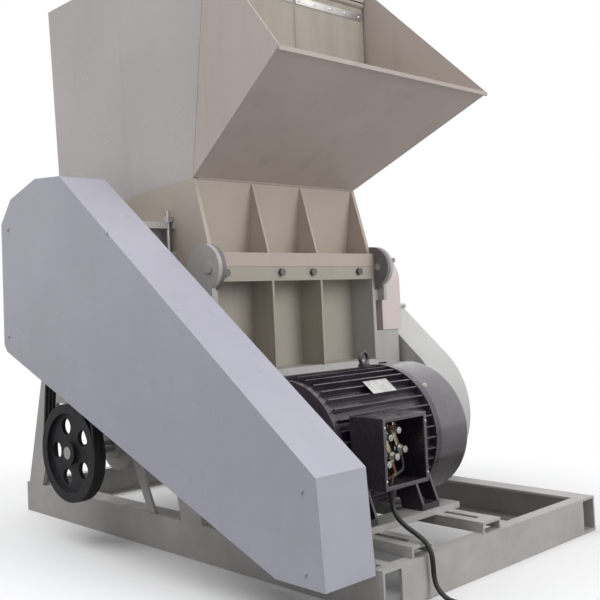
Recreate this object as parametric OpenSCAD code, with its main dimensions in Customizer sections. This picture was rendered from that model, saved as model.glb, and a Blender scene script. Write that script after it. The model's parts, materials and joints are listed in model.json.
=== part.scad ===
// Heavy plastic granulator with a front feed chute, a belt-driven cutting rotor and a discharge blower.
// X runs along the rotor axis, the feed side faces -Y, Z is up, and the origin lies on the floor
// in the middle of the four anchor holes.

/* [Base frame] */
// Overall width of the welded base
base_w = 1334; // [1200:2:1500]
// Overall depth of the welded base
base_d = 2134; // [1900:2:2400]
// Height of the base channels
beam_h = 134; // [100:2:160]
// Flange width of the two side channels
side_flange = 90; // [60:2:120]
// Flange width of the cross channels
cross_flange = 46; // [30:2:80]
// Thickness of the channel webs and flanges
channel_t = 9; // [6:1:12]
// Radius of the anchor holes
anchor_r = 11; // [8:0.5:14]
// Distance of the anchor holes from the sides of the base
anchor_edge = 47; // [40:1:60]
// Distance between anchor holes along the base
anchor_y = 1800; // [1500:10:1900]

/* [Stand] */
// Height of the deck that carries the chamber
deck_z = 670; // [640:1:700]
// Thickness of the deck and the stand side plates
stand_t = 20; // [12:1:25]
// Front face of the stand
stand_front = -160; // [-180:1:-150]
// Rear edge of the stand at its deck
stand_rear = 898; // [850:1:930]
// How far the legs splay out at their feet
leg_splay = 146; // [80:1:160]
// Width of a leg
leg_w = 122; // [90:1:150]

/* [Cutting chamber] */
// Outer width of the chamber
chamber_w = 1000; // [900:2:1100]
// Thickness of the chamber end walls
end_wall_t = 20; // [16:1:30]
// Thickness of the chamber front and rear walls
chamber_wall_t = 14; // [10:1:20]
// Height of the joint between lower and upper chamber
split_z = 1099; // [1090:1:1110]
// Gap between the two halves of the chamber
split_gap = 0.4; // [0.3:0.1:1]
// Front face of the joint flanges and ribs
flange_front = -166; // [-180:1:-150]
// Height of each joint flange bar
flange_h = 59; // [40:1:70]
// Thickness of the ribs on the chamber front
rib_t = 12; // [8:1:16]
// Rear face of the chamber
chamber_rear = 780; // [760:1:800]
// Outer face of the lower front wall
lower_front_y = -40; // [-50:1:-20]

/* [Rotor] */
// Distance of the rotor axis behind the middle of the base
rotor_y = 345; // [335:1:355]
// Height of the rotor axis
rotor_z = 1050; // [1040:1:1056]
// Radius swept by the knife edges
rotor_r = 272; // [250:1:280]
// Radius of the rotor shaft in its bearings
shaft_r = 55; // [45:1:65]
// Number of rotor discs
disc_count = 6; // [4:1:8]
// Thickness of a rotor disc
disc_t = 40; // [30:1:60]
// Number of knife rows
knife_rows = 3; // [3:1:4]
// Thickness of a knife
knife_t = 20; // [14:1:25]
// Radial width of a knife
knife_w = 84; // [60:1:100]

/* [Belt drives] */
// Outer radius of the large pulley on the rotor
rotor_pulley_r = 340; // [300:1:350]
// Outer radius of the motor pulley
motor_pulley_r = 130; // [110:1:140]
// Width of the main pulleys
main_pulley_w = 96; // [80:1:110]
// Number of main belts
belt_count = 4; // [3:1:5]
// Outer radius of the pulley that drives the discharge screw
small_pulley_r = 110; // [90:1:120]
// Outer radius of the discharge screw pulley
screw_pulley_r = 198; // [180:1:205]
// Width of the screw drive pulleys
screw_pulley_w = 54; // [44:1:60]
// Top width of a belt
belt_w = 17; // [13:1:19]
// Height of a belt
belt_h = 11; // [8:1:14]

/* [Hopper] */
// Height of the hopper top
hopper_top_z = 2450; // [2300:5:2550]
// Thickness of the hopper sheet
sheet_t = 6; // [4:0.5:8]
// Height of the fold line of the feed chute
chute_z = 1467; // [1440:1:1490]
// Height of the feed chute lip
lip_z = 1821; // [1780:1:1860]
// Front edge of the feed chute lip
lip_y = -715; // [-760:1:-680]
// Width of the feed chute at its lip
lip_w = 1286; // [1180:2:1320]
// Rear face of the hopper at its top
hopper_rear_top = 1012; // [980:1:1030]
// Rear face of the hopper above its lower bend
hopper_rear_low = 955; // [930:1:970]
// Front face of the chamber at its joint
throat_low_y = -22; // [-30:1:-15]
// Front face of the hopper at its top
throat_top_y = -203; // [-215:1:-190]
// Thickness of the feed curtain
curtain_t = 6; // [4:1:8]

/* [Belt guard] */
// Outer face of the belt guard, measured from the rotor middle
guard_reach = 247; // [240:1:262]
// Width of the belt guard
guard_w = 224; // [218:1:232]
// Length of the belt guard from front to back
guard_d = 1847; // [1800:1:1880]
// Height of the belt guard
guard_h = 1384; // [1360:1:1420]
// Thickness of the guard sheet
guard_t = 4; // [3:0.5:5]

/* [Motor] */
// Height of the motor axis above its feet
motor_h = 250; // [245:1:255]
// Distance of the motor axis in front of the middle of the base
motor_y = -611; // [-620:1:-600]
// Outer radius of the motor frame
motor_r = 253; // [240:1:256]
// Drive-end face of the motor
motor_x = -640; // [-645:1:-630]
// Length of the motor from drive-end face to cowl end
motor_len = 790; // [760:1:820]
// Number of cooling fins round the frame
fin_count = 40; // [24:2:48]
// Radius of the motor shaft
motor_shaft_r = 32.5; // [28:0.5:36]
// Width and height of the terminal box
terminal_w = 228; // [200:1:240]
// Height of the slide rails
rail_h = 36; // [30:1:45]
// Width of a slide rail
rail_w = 110; // [90:1:120]
// Thickness of the cross bars under the motor
bar_h = 22; // [18:1:26]

/* [Discharge] */
// Height of the discharge screw axis
screw_z = 372; // [365:1:380]
// Outer radius of the screw flight
screw_r = 95; // [80:1:100]
// Radius of the screw shaft
screw_shaft_r = 25; // [20:1:30]
// Radius of the blower casing
blower_r = 373; // [360:1:380]
// Height of the blower axis
blower_z = 398; // [390:1:410]
// Radius of the blower wheel
impeller_r = 290; // [250:1:300]

/* [Supply cable] */
// Diameter of the supply cable
cable_d = 16; // [12:1:20]

/* [Hidden] */
$fn = 64;

// Clearances and overruns that every piece shares
cut = 1;
fit = 0.05;
seat = 0.3;
run_gap = 0.5;
clear = 2;

// Paints and materials
paint = [0.71, 0.70, 0.68];
dark_paint = [0.45, 0.44, 0.40];
motor_black = [0.17, 0.13, 0.16];
steel = [0.62, 0.62, 0.63];
iron = [0.20, 0.21, 0.22];
rubber = [0.10, 0.10, 0.11];
cream = [0.66, 0.63, 0.57];

// A plate of thickness t whose outline lies in the Y-Z plane and whose near face is at x
module plate_yz(points, x, t) {
    translate([x, 0, 0]) rotate([90, 0, 90]) linear_extrude(t) polygon(points);
}

// The same for any flat shape drawn with its first axis along Y and its second along Z
module profile_yz(x, t) {
    translate([x, 0, 0]) rotate([90, 0, 90]) linear_extrude(t) children();
}

// A round bar along X
module rod_x(r, x0, x1, y, z) {
    translate([x0, y, z]) rotate([0, 90, 0]) cylinder(r = r, h = x1 - x0);
}

// A block between two corners
module block(a, b) {
    translate(a) cube(b - a);
}

// The piece and its twin on the other side of the machine
module both_sides() {
    children();
    mirror([1, 0, 0]) children();
}

// The outline moved inward by t; its points run anticlockwise
function unit(v) = v / norm(v);
function inset_points(p, t) = [
    for (i = [0 : len(p) - 1])
        let (a = p[(i + len(p) - 1) % len(p)], b = p[i], c = p[(i + 1) % len(p)])
        let (d = unit(b - a), e = unit(c - b))
        let (n = [-d.y, d.x], m = [-e.y, e.x])
        b + t * (n + m) / (1 + n * m)
];

// Base frame
base_x = base_w / 2;
base_y = base_d / 2;
beam_in = base_x - side_flange;
rail_rear = -170;
rail_front = -1055;
anchor_signs = [-1, 1];

module side_beams() {
    color(paint) both_sides() difference() {
        block([beam_in, -base_y, 0], [base_x, base_y, beam_h]);
        block([beam_in - cut, -base_y - cut, channel_t], [base_x - channel_t, base_y + cut, beam_h - channel_t]);
        for (s = anchor_signs)
            translate([base_x - anchor_edge, s * anchor_y / 2, -cut]) cylinder(r = anchor_r, h = channel_t + 2 * cut);
    }
}

// A cross channel whose web stands at y = 0 and whose flanges point backward
module cross_beam() {
    difference() {
        block([-beam_in, 0, 0], [beam_in, cross_flange, beam_h]);
        block([-beam_in - cut, channel_t, channel_t], [beam_in + cut, cross_flange + cut, beam_h - channel_t]);
    }
}

module cross_beams() {
    color(paint) {
        translate([0, -base_y, 0]) cross_beam();
        translate([0, rail_rear - cross_flange, 0]) cross_beam();
        translate([0, base_y, 0]) mirror([0, 1, 0]) cross_beam();
    }
}

// Stand
stand_out = base_x;
stand_in = base_x - stand_t;
deck_low = deck_z - stand_t;
foot_front = stand_front - leg_splay / 2;
foot_rear = stand_rear + leg_splay;
open_z = deck_low - leg_w;
flange_w = 80;
flange_t = 12;
brace_w = 46;
brace_foot_y = 55;
brace_head_y = 253;
brace_t = 12;
brace_in = (stand_t - brace_t) / 2;

stand_outline = [
    [foot_front, beam_h], [foot_front + leg_w, beam_h], [stand_front + leg_w, open_z], [stand_rear - leg_w, open_z],
    [foot_rear - leg_w, beam_h], [foot_rear, beam_h], [stand_rear, deck_low], [stand_front, deck_low]
];

// Strip along one slanted edge of the stand side, turned inward as a stiffening flange
module edge_flange(low_y, high_y, side) {
    w = side * flange_t;
    plate_yz([[low_y, beam_h], [low_y + w, beam_h], [high_y + w, deck_low], [high_y, deck_low]],
        stand_in - flange_w, flange_w);
}

module stand_sides() {
    color(paint) both_sides() {
        plate_yz(stand_outline, stand_in, stand_t);
        edge_flange(foot_front, stand_front, 1);
        edge_flange(foot_rear, stand_rear, -1);
        plate_yz([[brace_foot_y, beam_h], [brace_foot_y + brace_w, beam_h], [brace_head_y + brace_w, open_z],
            [brace_head_y, open_z]], stand_in + brace_in, brace_t);
    }
}

// Chamber places
half_w = chamber_w / 2;
inner_x = half_w - end_wall_t;
low_top = split_z - split_gap / 2;
high_low = split_z + split_gap / 2;
flange_low = split_z - flange_h;
flange_top = split_z + flange_h;
low_front_in = lower_front_y + chamber_wall_t;
rear_in = chamber_rear - chamber_wall_t;
rear_flange_w = 80;
rear_flange_y = chamber_rear + rear_flange_w;
rib_shares = [-0.175, 0.125];
lip_drop = 30;
lip_reach = 14;
lip_t = 6;

module stand_deck() {
    color(paint) {
        difference() {
            block([-stand_out, stand_front, deck_low], [stand_out, stand_rear, deck_z]);
            block([-inner_x, low_front_in, deck_low - cut], [inner_x, rear_in, deck_z + cut]);
        }
        plate_yz([[stand_front, deck_z], [stand_front - lip_reach, deck_low - lip_drop],
            [stand_front - lip_reach + lip_t, deck_low - lip_drop], [stand_front, deck_low - lip_t]],
            -half_w, chamber_w);
    }
}

// Bearing pedestals on both sides of the chamber
pedestal_gap = 5;
pedestal_x = half_w + pedestal_gap;
pedestal_h = 130;
pedestal_rear = 850;
pedestal_wall = 14;
seat_front = 200;
seat_rear = 490;
seat_h = 130;
bearing_off = 62;
bearing_in = half_w + bearing_off;
bearing_w = 90;
bearing_h = 120;
pedestal_top = deck_z + pedestal_h;
seat_top = pedestal_top + seat_h;
bearing_out = bearing_in + bearing_w;

module bearing_pedestals() {
    color(paint) both_sides() {
        difference() {
            block([pedestal_x, stand_front, deck_z], [stand_out, pedestal_rear, pedestal_top]);
            block([pedestal_x + pedestal_wall, stand_front + pedestal_wall, deck_z - cut],
                [stand_out - pedestal_wall, pedestal_rear - pedestal_wall, pedestal_top - pedestal_wall]);
        }
        block([bearing_in - clear, seat_front, pedestal_top], [bearing_out + clear, seat_rear, seat_top]);
    }
}

// Lower chamber
shaft_hole_r = shaft_r + clear;
low_end_outline = [
    [flange_front, deck_z], [chamber_rear, deck_z], [chamber_rear, low_top], [low_front_in, low_top],
    [low_front_in, flange_low], [flange_front, flange_low]
];

module chamber_ends() {
    color(paint) both_sides() difference() {
        plate_yz(low_end_outline, inner_x, end_wall_t);
        rod_x(shaft_hole_r, inner_x - cut, half_w + cut, rotor_y, rotor_z);
    }
}

module chamber_front() {
    color(dark_paint) {
        block([-inner_x, lower_front_y, deck_z], [inner_x, low_front_in, low_top]);
        block([-half_w, flange_front, flange_low], [half_w, low_front_in, low_top]);
        for (s = rib_shares)
            block([s * chamber_w, flange_front, deck_z], [s * chamber_w + rib_t, lower_front_y, flange_low]);
    }
}

module chamber_rear() {
    color(paint) {
        block([-inner_x, rear_in, deck_z], [inner_x, chamber_rear, low_top]);
        block([-half_w, chamber_rear, flange_low], [half_w, rear_flange_y, low_top]);
        for (s = rib_shares)
            plate_yz([[chamber_rear, deck_z], [rear_flange_y, flange_low - flange_h],
                [rear_flange_y, flange_low], [chamber_rear, flange_low]], s * chamber_w, rib_t);
    }
}

// Bed knives on their seats, front and rear, with a small gap to the rotor circle
knife_gap = 1.5;
bed_top = 1080;
bed_t = 20;
bed_seat_h = 110;
bed_seat_w = 66;
bed_bevel = 12;
bed_low = bed_top - bed_t;
seat_low = bed_low - bed_seat_h;
bed_reach = sqrt(rotor_r * rotor_r - (bed_top - rotor_z) * (bed_top - rotor_z));
bed_tip = rotor_y - bed_reach - knife_gap;
bed_mirror = 2 * rotor_y - bed_tip;
bed_holes_shares = [-0.4, -0.2, 0, 0.2, 0.4];
bed_bolt_r = 9;
bed_bolt_depth = 40;

module bed_knife_pair() {
    plate_yz([[low_front_in, bed_low], [bed_tip - bed_bevel, bed_low], [bed_tip, bed_top], [low_front_in, bed_top]],
        -inner_x, 2 * inner_x);
    plate_yz([[bed_mirror + bed_bevel, bed_low], [rear_in, bed_low], [rear_in, bed_top], [bed_mirror, bed_top]],
        -inner_x, 2 * inner_x);
}

module knife_seats() {
    color(steel) {
        plate_yz([[low_front_in, seat_low], [low_front_in + bed_seat_w / 2, seat_low],
            [low_front_in + bed_seat_w, bed_low], [low_front_in, bed_low]], -inner_x, 2 * inner_x);
        plate_yz([[rear_in - bed_seat_w / 2, seat_low], [rear_in, seat_low],
            [rear_in, bed_low], [rear_in - bed_seat_w, bed_low]], -inner_x, 2 * inner_x);
    }
}

module bed_knives() {
    color(steel) difference() {
        bed_knife_pair();
        for (s = bed_holes_shares, y = [low_front_in + bed_bolt_depth, rear_in - bed_bolt_depth])
            translate([s * chamber_w, y, bed_low - cut]) cylinder(r = bed_bolt_r, h = bed_t + 2 * cut);
    }
}

// Perforated screen under the rotor, on a cradle of three arched ribs
screen_gap = 8;
screen_t = 6;
screen_hole_r = 12;
screen_rows = 7;
screen_columns = 11;
screen_half_angle = 70;
screen_pitch_angle = 20;
screen_pitch_share = 0.08;
cradle_t = 16;
cradle_depth = 26;
screen_in = rotor_r + screen_gap;
screen_out = screen_in + screen_t;
cradle_in = screen_out + seat;
cradle_out = cradle_in + cradle_depth;
cradle_places = [-inner_x, -cradle_t / 2, inner_x - cradle_t];

// A ring sector that is open at the top, as wide as its half angle on both sides of straight down
module low_arc(r_in, r_out, half_angle) {
    far = 2 * r_out;
    intersection() {
        difference() {
            circle(r = r_out);
            circle(r = r_in);
        }
        polygon([[0, 0], far * [-sin(half_angle), -cos(half_angle)], [-far, -far], [far, -far],
            far * [sin(half_angle), -cos(half_angle)]]);
    }
}

module screen() {
    color(steel) difference() {
        translate([-inner_x + seat, rotor_y, rotor_z]) rotate([90, 0, 90])
            linear_extrude(2 * inner_x - 2 * seat) low_arc(screen_in, screen_out, screen_half_angle);
        for (i = [0 : screen_columns - 1], j = [0 : screen_rows - 1])
            translate([(i - (screen_columns - 1) / 2) * screen_pitch_share * chamber_w, rotor_y, rotor_z])
                rotate([(j - (screen_rows - 1) / 2) * screen_pitch_angle, 0, 0])
                    translate([0, 0, -screen_out - cut]) cylinder(r = screen_hole_r, h = screen_t + 2 * cut);
    }
}

module screen_cradle() {
    bar_y = cradle_in * sin(screen_half_angle);
    bar_z = cradle_in * cos(screen_half_angle);
    color(dark_paint) {
        for (x = cradle_places)
            translate([x, rotor_y, rotor_z]) rotate([90, 0, 90])
                linear_extrude(cradle_t) low_arc(cradle_in, cradle_out, screen_half_angle);
        for (s = [-1, 1])
            translate([-inner_x, rotor_y + s * (bar_y + cradle_depth / 2) - cradle_t / 2,
                rotor_z - bar_z - cradle_depth])
                cube([2 * inner_x, cradle_t, cradle_t]);
    }
}

// Hexagon bolt heads on the front joint flange
bolt_head_r = 17;
bolt_head_h = 13;
flange_bolt_shares = [-0.435, -0.12, 0.075, 0.385];
flange_bolt_share = 0.4;
flange_bolt_z = split_z - flange_h * flange_bolt_share;

module hex_head(r, h) {
    cylinder(r = r, h = h, $fn = 6);
}

module flange_bolts() {
    color(steel) for (s = flange_bolt_shares)
        translate([s * chamber_w, flange_front, flange_bolt_z]) rotate([90, 0, 0]) hex_head(bolt_head_r, bolt_head_h);
}

// Plummer blocks: a foot, a round body and a cap with two bolts
bearing_r = 95;
foot_h = 30;
foot_half = 140;
cap_bolt_at = 112;
cap_bolt_r = 14;
cap_bolt_h = 16;
cap_h = 26;

module bearing_housing() {
    difference() {
        union() {
            profile_yz(bearing_in, bearing_w) translate([rotor_y, rotor_z]) {
                circle(r = bearing_r);
                translate([-foot_half, -bearing_h]) square([2 * foot_half, foot_h]);
                translate([-bearing_r, -bearing_h]) square([2 * bearing_r, bearing_h]);
                translate([-cap_bolt_at - cap_bolt_r, -cap_h]) square([2 * (cap_bolt_at + cap_bolt_r), 2 * cap_h]);
            }
            for (s = [-1, 1])
                translate([bearing_in + bearing_w / 2, rotor_y + s * cap_bolt_at, rotor_z + cap_h])
                    hex_head(cap_bolt_r, cap_bolt_h);
        }
        rod_x(shaft_r + fit, bearing_in - cut, bearing_out + cut, rotor_y, rotor_z);
    }
}

module bearing_housings() {
    color(iron) both_sides() bearing_housing();
}

// Front hinge of the upper chamber: ears on both halves and a pin on each side
hinge_y = -185;
hinge_z = 1095;
ear_y = -150;
ear_r = 95;
ear_t = 20;
hinge_pin_r = 16;
pin_head_r = 22;
pin_head_h = 5;
ear_pad_h = 50;
ear_leg_low = 940;
ear_leg_w = 100;
upper_ear_x = half_w + run_gap;
lower_ear_x = upper_ear_x + ear_t + run_gap;
lower_ear_out = lower_ear_x + ear_t;

module ear_plate(x, t) {
    difference() {
        rod_x(ear_r, x, x + t, ear_y, hinge_z);
        rod_x(hinge_pin_r + fit, x - cut, x + t + cut, hinge_y, hinge_z);
    }
}

module upper_ears() {
    color(paint) both_sides() {
        ear_plate(upper_ear_x, ear_t);
        block([half_w, flange_front + rib_t, high_low + rib_t], [upper_ear_x, -ear_r / 2, high_low + ear_pad_h]);
    }
}

module lower_ears() {
    leg_front = ear_y - ear_leg_w / 2;
    color(paint) both_sides() {
        difference() {
            union() {
                rod_x(ear_r, lower_ear_x, lower_ear_out, ear_y, hinge_z);
                block([lower_ear_x, leg_front, ear_leg_low], [lower_ear_out, leg_front + ear_leg_w, hinge_z]);
            }
            rod_x(hinge_pin_r + fit, lower_ear_x - cut, lower_ear_out + cut, hinge_y, hinge_z);
        }
        block([half_w, flange_front, ear_leg_low], [lower_ear_x, leg_front + ear_leg_w, ear_leg_low + ear_pad_h]);
    }
    color(steel) both_sides() {
        rod_x(hinge_pin_r, upper_ear_x, lower_ear_out + seat, hinge_y, hinge_z);
        rod_x(pin_head_r, lower_ear_out + seat, lower_ear_out + seat + pin_head_h, hinge_y, hinge_z);
    }
}

// Clamp bolts hold the upper chamber down: shelf above, lug below, one bolt at each corner
shelf_low = 1270;
shelf_t = 27;
shelf_reach = 185;
shelf_out = half_w + shelf_reach;
shelf_front = 60;
shelf_rear = 630;
clamp_off = 25;
clamp_x = half_w + clamp_off;
clamp_inset = 21;
clamp_slot_r = 14;
clamp_r = 11;
clamp_top = 1345;
clamp_head_r = 21;
clamp_head_h = 22;
washer_t = 3;
lug_top = 1175;
lug_low = 1000;
lug_w = 50;
lug_reach = 45;
lug_out = half_w + lug_reach;
shelf_top = shelf_low + shelf_t;
clamp_front = shelf_front + clamp_inset;
clamp_rear = shelf_rear - clamp_inset;

module clamp_slot(y, side) {
    translate([clamp_x, y, shelf_low - cut]) cylinder(r = clamp_slot_r, h = shelf_t + 2 * cut);
    translate([clamp_x - clamp_slot_r, side < 0 ? y - 2 * clamp_inset : y, shelf_low - cut])
        cube([2 * clamp_slot_r, 2 * clamp_inset, shelf_t + 2 * cut]);
}

module clamp_shelves() {
    gusset_h = shelf_low - lug_top;
    gusset_out = shelf_out - 2 * rib_t;
    color(paint) both_sides() {
        difference() {
            block([half_w, shelf_front, shelf_low], [shelf_out, shelf_rear, shelf_top]);
            clamp_slot(clamp_front, -1);
            clamp_slot(clamp_rear, 1);
        }
        for (y = [shelf_front + lug_w + rib_t, rotor_y, shelf_rear - lug_w - 2 * rib_t])
            translate([0, y, 0]) rotate([90, 0, 0]) mirror([0, 0, 1]) linear_extrude(rib_t)
                polygon([[half_w, shelf_low - gusset_h], [gusset_out, shelf_low], [half_w, shelf_low]]);
    }
}

module bolt_lugs() {
    color(paint) both_sides() for (y = [clamp_front, clamp_rear]) {
        block([half_w, y - lug_w / 2, lug_low], [lug_out, y + lug_w / 2, low_top - cut]);
        block([half_w + run_gap, y - lug_w / 2, low_top - cut], [lug_out, y + lug_w / 2, lug_top]);
    }
}

module clamp_bolt(x, y) {
    color(steel) translate([x, y, 0]) {
        translate([0, 0, lug_top + seat]) cylinder(r = clamp_r, h = clamp_top - lug_top - seat);
        translate([0, 0, shelf_top + seat]) cylinder(r = clamp_head_r, h = washer_t);
        translate([0, 0, shelf_top + seat + washer_t]) hex_head(clamp_head_r, clamp_head_h - washer_t);
    }
}

module clamp_bolt_left_front() {
    clamp_bolt(-clamp_x, clamp_front);
}

module clamp_bolt_left_rear() {
    clamp_bolt(-clamp_x, clamp_rear);
}

module clamp_bolt_right_front() {
    clamp_bolt(clamp_x, clamp_front);
}

module clamp_bolt_right_rear() {
    clamp_bolt(clamp_x, clamp_rear);
}

// Rotor
shaft_mid_r = 75;
shaft_mid_x = inner_x - clear;
shaft_end_r = 48;
shaft_extra = 10;
pulley_off = 133;
second_off = 80;
main_x = -base_x - pulley_off;
second_x = main_x - second_off;
shaft_left = second_x - shaft_extra;
shaft_step = main_x + main_pulley_w + shaft_extra;
disc_r = 248;
disc_inset = 80;
disc_span = inner_x - disc_inset;
gullet_r = 105;
gullet_at = 232;
gullet_turn = 24;
knife_inset = 10;
knife_half = inner_x - knife_inset;
knife_bevel = 14;
pocket = 90;
knife_turn = 360 / knife_rows;
knife_in = rotor_r - knife_w;

module rotor_shaft() {
    color(steel) {
        rod_x(shaft_mid_r, -shaft_mid_x, shaft_mid_x, rotor_y, rotor_z);
        rod_x(shaft_r, shaft_step, -shaft_mid_x, rotor_y, rotor_z);
        rod_x(shaft_r, shaft_mid_x, bearing_out + clear, rotor_y, rotor_z);
        rod_x(shaft_end_r, shaft_left, shaft_step, rotor_y, rotor_z);
    }
}

// Open rotor disc: a gullet clears the chips in front of each knife, a flat seat holds its back
module disc_shape() {
    difference() {
        circle(r = disc_r);
        circle(r = shaft_mid_r + fit);
        for (i = [0 : knife_rows - 1]) rotate(i * knife_turn) {
            rotate(gullet_turn) translate([gullet_at, 0]) circle(r = gullet_r);
            translate([knife_in, -knife_t]) square([pocket + knife_w, knife_t + pocket]);
        }
    }
}

module rotor_discs() {
    pitch = 2 * disc_span / (disc_count - 1);
    color(dark_paint) for (i = [0 : disc_count - 1])
        profile_yz(i * pitch - disc_span - disc_t / 2, disc_t) translate([rotor_y, rotor_z]) disc_shape();
}

module rotor_knives() {
    color(steel) profile_yz(-knife_half, 2 * knife_half) translate([rotor_y, rotor_z])
        for (i = [0 : knife_rows - 1]) rotate(i * knife_turn)
            polygon([[knife_in, -knife_t], [rotor_r - knife_bevel, -knife_t], [rotor_r, 0], [knife_in, 0]]);
}

// Grooved pulley lying flat with its lower face at z = 0
groove_land = 5;
rim_depth = 26;
web_share = 0.35;

module pulley(r, w, bore, hub_r, belts, holes, hole_r, hole_at) {
    pitch = w / belts;
    web = w * web_share;
    rim_in = r - belt_h - rim_depth;
    difference() {
        cylinder(r = r, h = w);
        for (i = [0 : belts - 1])
            translate([0, 0, i * pitch + groove_land / 2]) difference() {
                cylinder(r = r + cut, h = pitch - groove_land);
                cylinder(r = r - belt_h, h = pitch - groove_land);
            }
        if (rim_in > hub_r)
            for (z = [-cut, (w + web) / 2])
                translate([0, 0, z]) difference() {
                    cylinder(r = rim_in, h = (w - web) / 2 + cut);
                    cylinder(r = hub_r, h = (w - web) / 2 + cut);
                }
        for (i = [0 : holes - 1])
            rotate(i * 360 / holes) translate([hole_at, 0, -cut]) cylinder(r = hole_r, h = w + 2 * cut);
        translate([0, 0, -cut]) cylinder(r = bore + fit, h = w + 2 * cut);
    }
}

module pulley_at(x, y, z) {
    translate([x, y, z]) rotate([90, 0, 90]) children();
}

rotor_hub_r = 95;
motor_hub_r = 60;
rotor_holes = 6;
rotor_hole_r = 62;
rotor_hole_at = 200;
screw_holes = 5;
screw_hole_r = 34;
screw_hole_at = 108;
screw_hub_r = 48;
second_belts = 3;

module rotor_pulley() {
    color(iron) pulley_at(main_x, rotor_y, rotor_z)
        pulley(rotor_pulley_r, main_pulley_w, shaft_end_r, rotor_hub_r, belt_count,
            rotor_holes, rotor_hole_r, rotor_hole_at);
}

module screw_drive_pulley() {
    color(iron) pulley_at(second_x, rotor_y, rotor_z)
        pulley(small_pulley_r, screw_pulley_w, shaft_end_r, rotor_hub_r, second_belts, 0, 0, 0);
}

module motor_pulley() {
    color(iron) pulley_at(main_x, motor_y, motor_z)
        pulley(motor_pulley_r, main_pulley_w, motor_shaft_r, motor_hub_r, belt_count, 0, 0, 0);
}

module screw_pulley() {
    color(iron) pulley_at(second_x, rotor_y, screw_z)
        pulley(screw_pulley_r, screw_pulley_w, screw_shaft_r, screw_hub_r, second_belts,
            screw_holes, screw_hole_r, screw_hole_at);
}

// Belts run in the grooves and stand a little proud of the rims
belt_proud = 1;

// Flat area bounded by two circles and lines a hair inside their outer tangents
arc_fn = 96;
tangent_tuck = 0.1;

module loop_area(a, ra, b, rb) {
    d = b - a;
    along = unit(d);
    lean = asin((ra - rb) / norm(d));
    side = [-along.y, along.x];
    up = along * sin(lean) + side * cos(lean);
    down = along * sin(lean) - side * cos(lean);
    in_a = ra - tangent_tuck;
    in_b = rb - tangent_tuck;
    translate(a) circle(r = ra, $fn = arc_fn);
    translate(b) circle(r = rb, $fn = arc_fn);
    polygon([a + in_a * up, a + in_a * down, b + in_b * down, b + in_b * up]);
}

module belt_loops(x, w, belts, a, ra, b, rb) {
    pitch = w / belts;
    width = pitch - groove_land - 2 * run_gap;
    in = belt_h - run_gap;
    for (i = [0 : belts - 1])
        profile_yz(x + i * pitch + (pitch - width) / 2, width) difference() {
            loop_area(a, ra + belt_proud, b, rb + belt_proud);
            loop_area(a, ra - in, b, rb - in);
        }
}

module drive_belts() {
    color(rubber) {
        belt_loops(main_x, main_pulley_w, belt_count, [rotor_y, rotor_z], rotor_pulley_r,
            [motor_y, motor_z], motor_pulley_r);
        belt_loops(second_x, screw_pulley_w, second_belts, [rotor_y, screw_z], screw_pulley_r,
            [rotor_y, rotor_z], small_pulley_r);
    }
}

// Upper chamber, which tilts forward with the hopper
lean_rate = (throat_low_y - throat_top_y) / (hopper_top_z - flange_top);
function front_y(z) = throat_low_y - (z - flange_top) * lean_rate;
fold_y = front_y(chute_z);
rear_fold_z = 1400;
rear_bend_z = 1560;
gusset_foot = 127;
panel_back = throat_low_y + chamber_wall_t;

// The shaft passes between two strips below each end plate
shaft_slot = 62;
strip_top = rotor_z + shaft_mid_r + clear;
high_end_outline = [
    [throat_low_y, strip_top + seat], [chamber_rear, strip_top + seat], [chamber_rear, rear_fold_z],
    [fold_y, chute_z], [throat_low_y - gusset_foot, flange_top], [throat_low_y, flange_top]
];

module upper_ends() {
    color(paint) both_sides() {
        plate_yz(high_end_outline, inner_x, end_wall_t);
        block([inner_x, throat_low_y, high_low], [half_w, rotor_y - shaft_slot, strip_top]);
        block([inner_x, rotor_y + shaft_slot, high_low], [half_w, chamber_rear, strip_top]);
    }
}

module upper_front() {
    color(paint) {
        block([-half_w, flange_front, high_low], [half_w, throat_low_y, flange_top]);
        block([-inner_x, throat_low_y - cut, high_low], [inner_x, panel_back, flange_top]);
        plate_yz([[throat_low_y, flange_top], [panel_back, flange_top], [fold_y + chamber_wall_t, chute_z],
            [fold_y, chute_z]], -inner_x, 2 * inner_x);
        for (s = rib_shares)
            plate_yz([[throat_low_y - gusset_foot, flange_top], [throat_low_y, flange_top], [fold_y, chute_z]],
                s * chamber_w, rib_t);
    }
}

module upper_rear() {
    color(paint) {
        block([-inner_x, rear_in, high_low], [inner_x, chamber_rear, rear_fold_z]);
        block([-half_w, chamber_rear, high_low], [half_w, rear_flange_y, flange_top]);
        for (s = rib_shares)
            plate_yz([[chamber_rear, flange_top], [rear_flange_y, flange_top],
                [chamber_rear, rear_fold_z - flange_h]], s * chamber_w, rib_t);
    }
}

// Hopper sheets
sheet_in = half_w - sheet_t;
side_outline = [
    [fold_y, chute_z], [chamber_rear, rear_fold_z], [hopper_rear_low, rear_bend_z],
    [hopper_rear_top, hopper_top_z], [throat_top_y, hopper_top_z]
];

module hopper_left() {
    color(paint) plate_yz(side_outline, -half_w, sheet_t);
}

module hopper_right() {
    color(paint) plate_yz(side_outline, sheet_in, sheet_t);
}

module hopper_back() {
    bend = inset_points([[hopper_rear_top, hopper_top_z], [throat_top_y, hopper_top_z], [fold_y, chute_z],
        [chamber_rear, rear_fold_z], [hopper_rear_low, rear_bend_z]], sheet_t);
    low = rear_fold_z + cut;
    slant = (hopper_rear_low - chamber_rear) / (rear_bend_z - rear_fold_z);
    color(paint) {
        plate_yz([[chamber_rear + slant * cut, low], [hopper_rear_low, rear_bend_z],
            [hopper_rear_top, hopper_top_z], [bend[0].x, hopper_top_z], bend[4],
            [chamber_rear - chamber_wall_t, low]], -sheet_in, 2 * sheet_in);
    }
}

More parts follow.
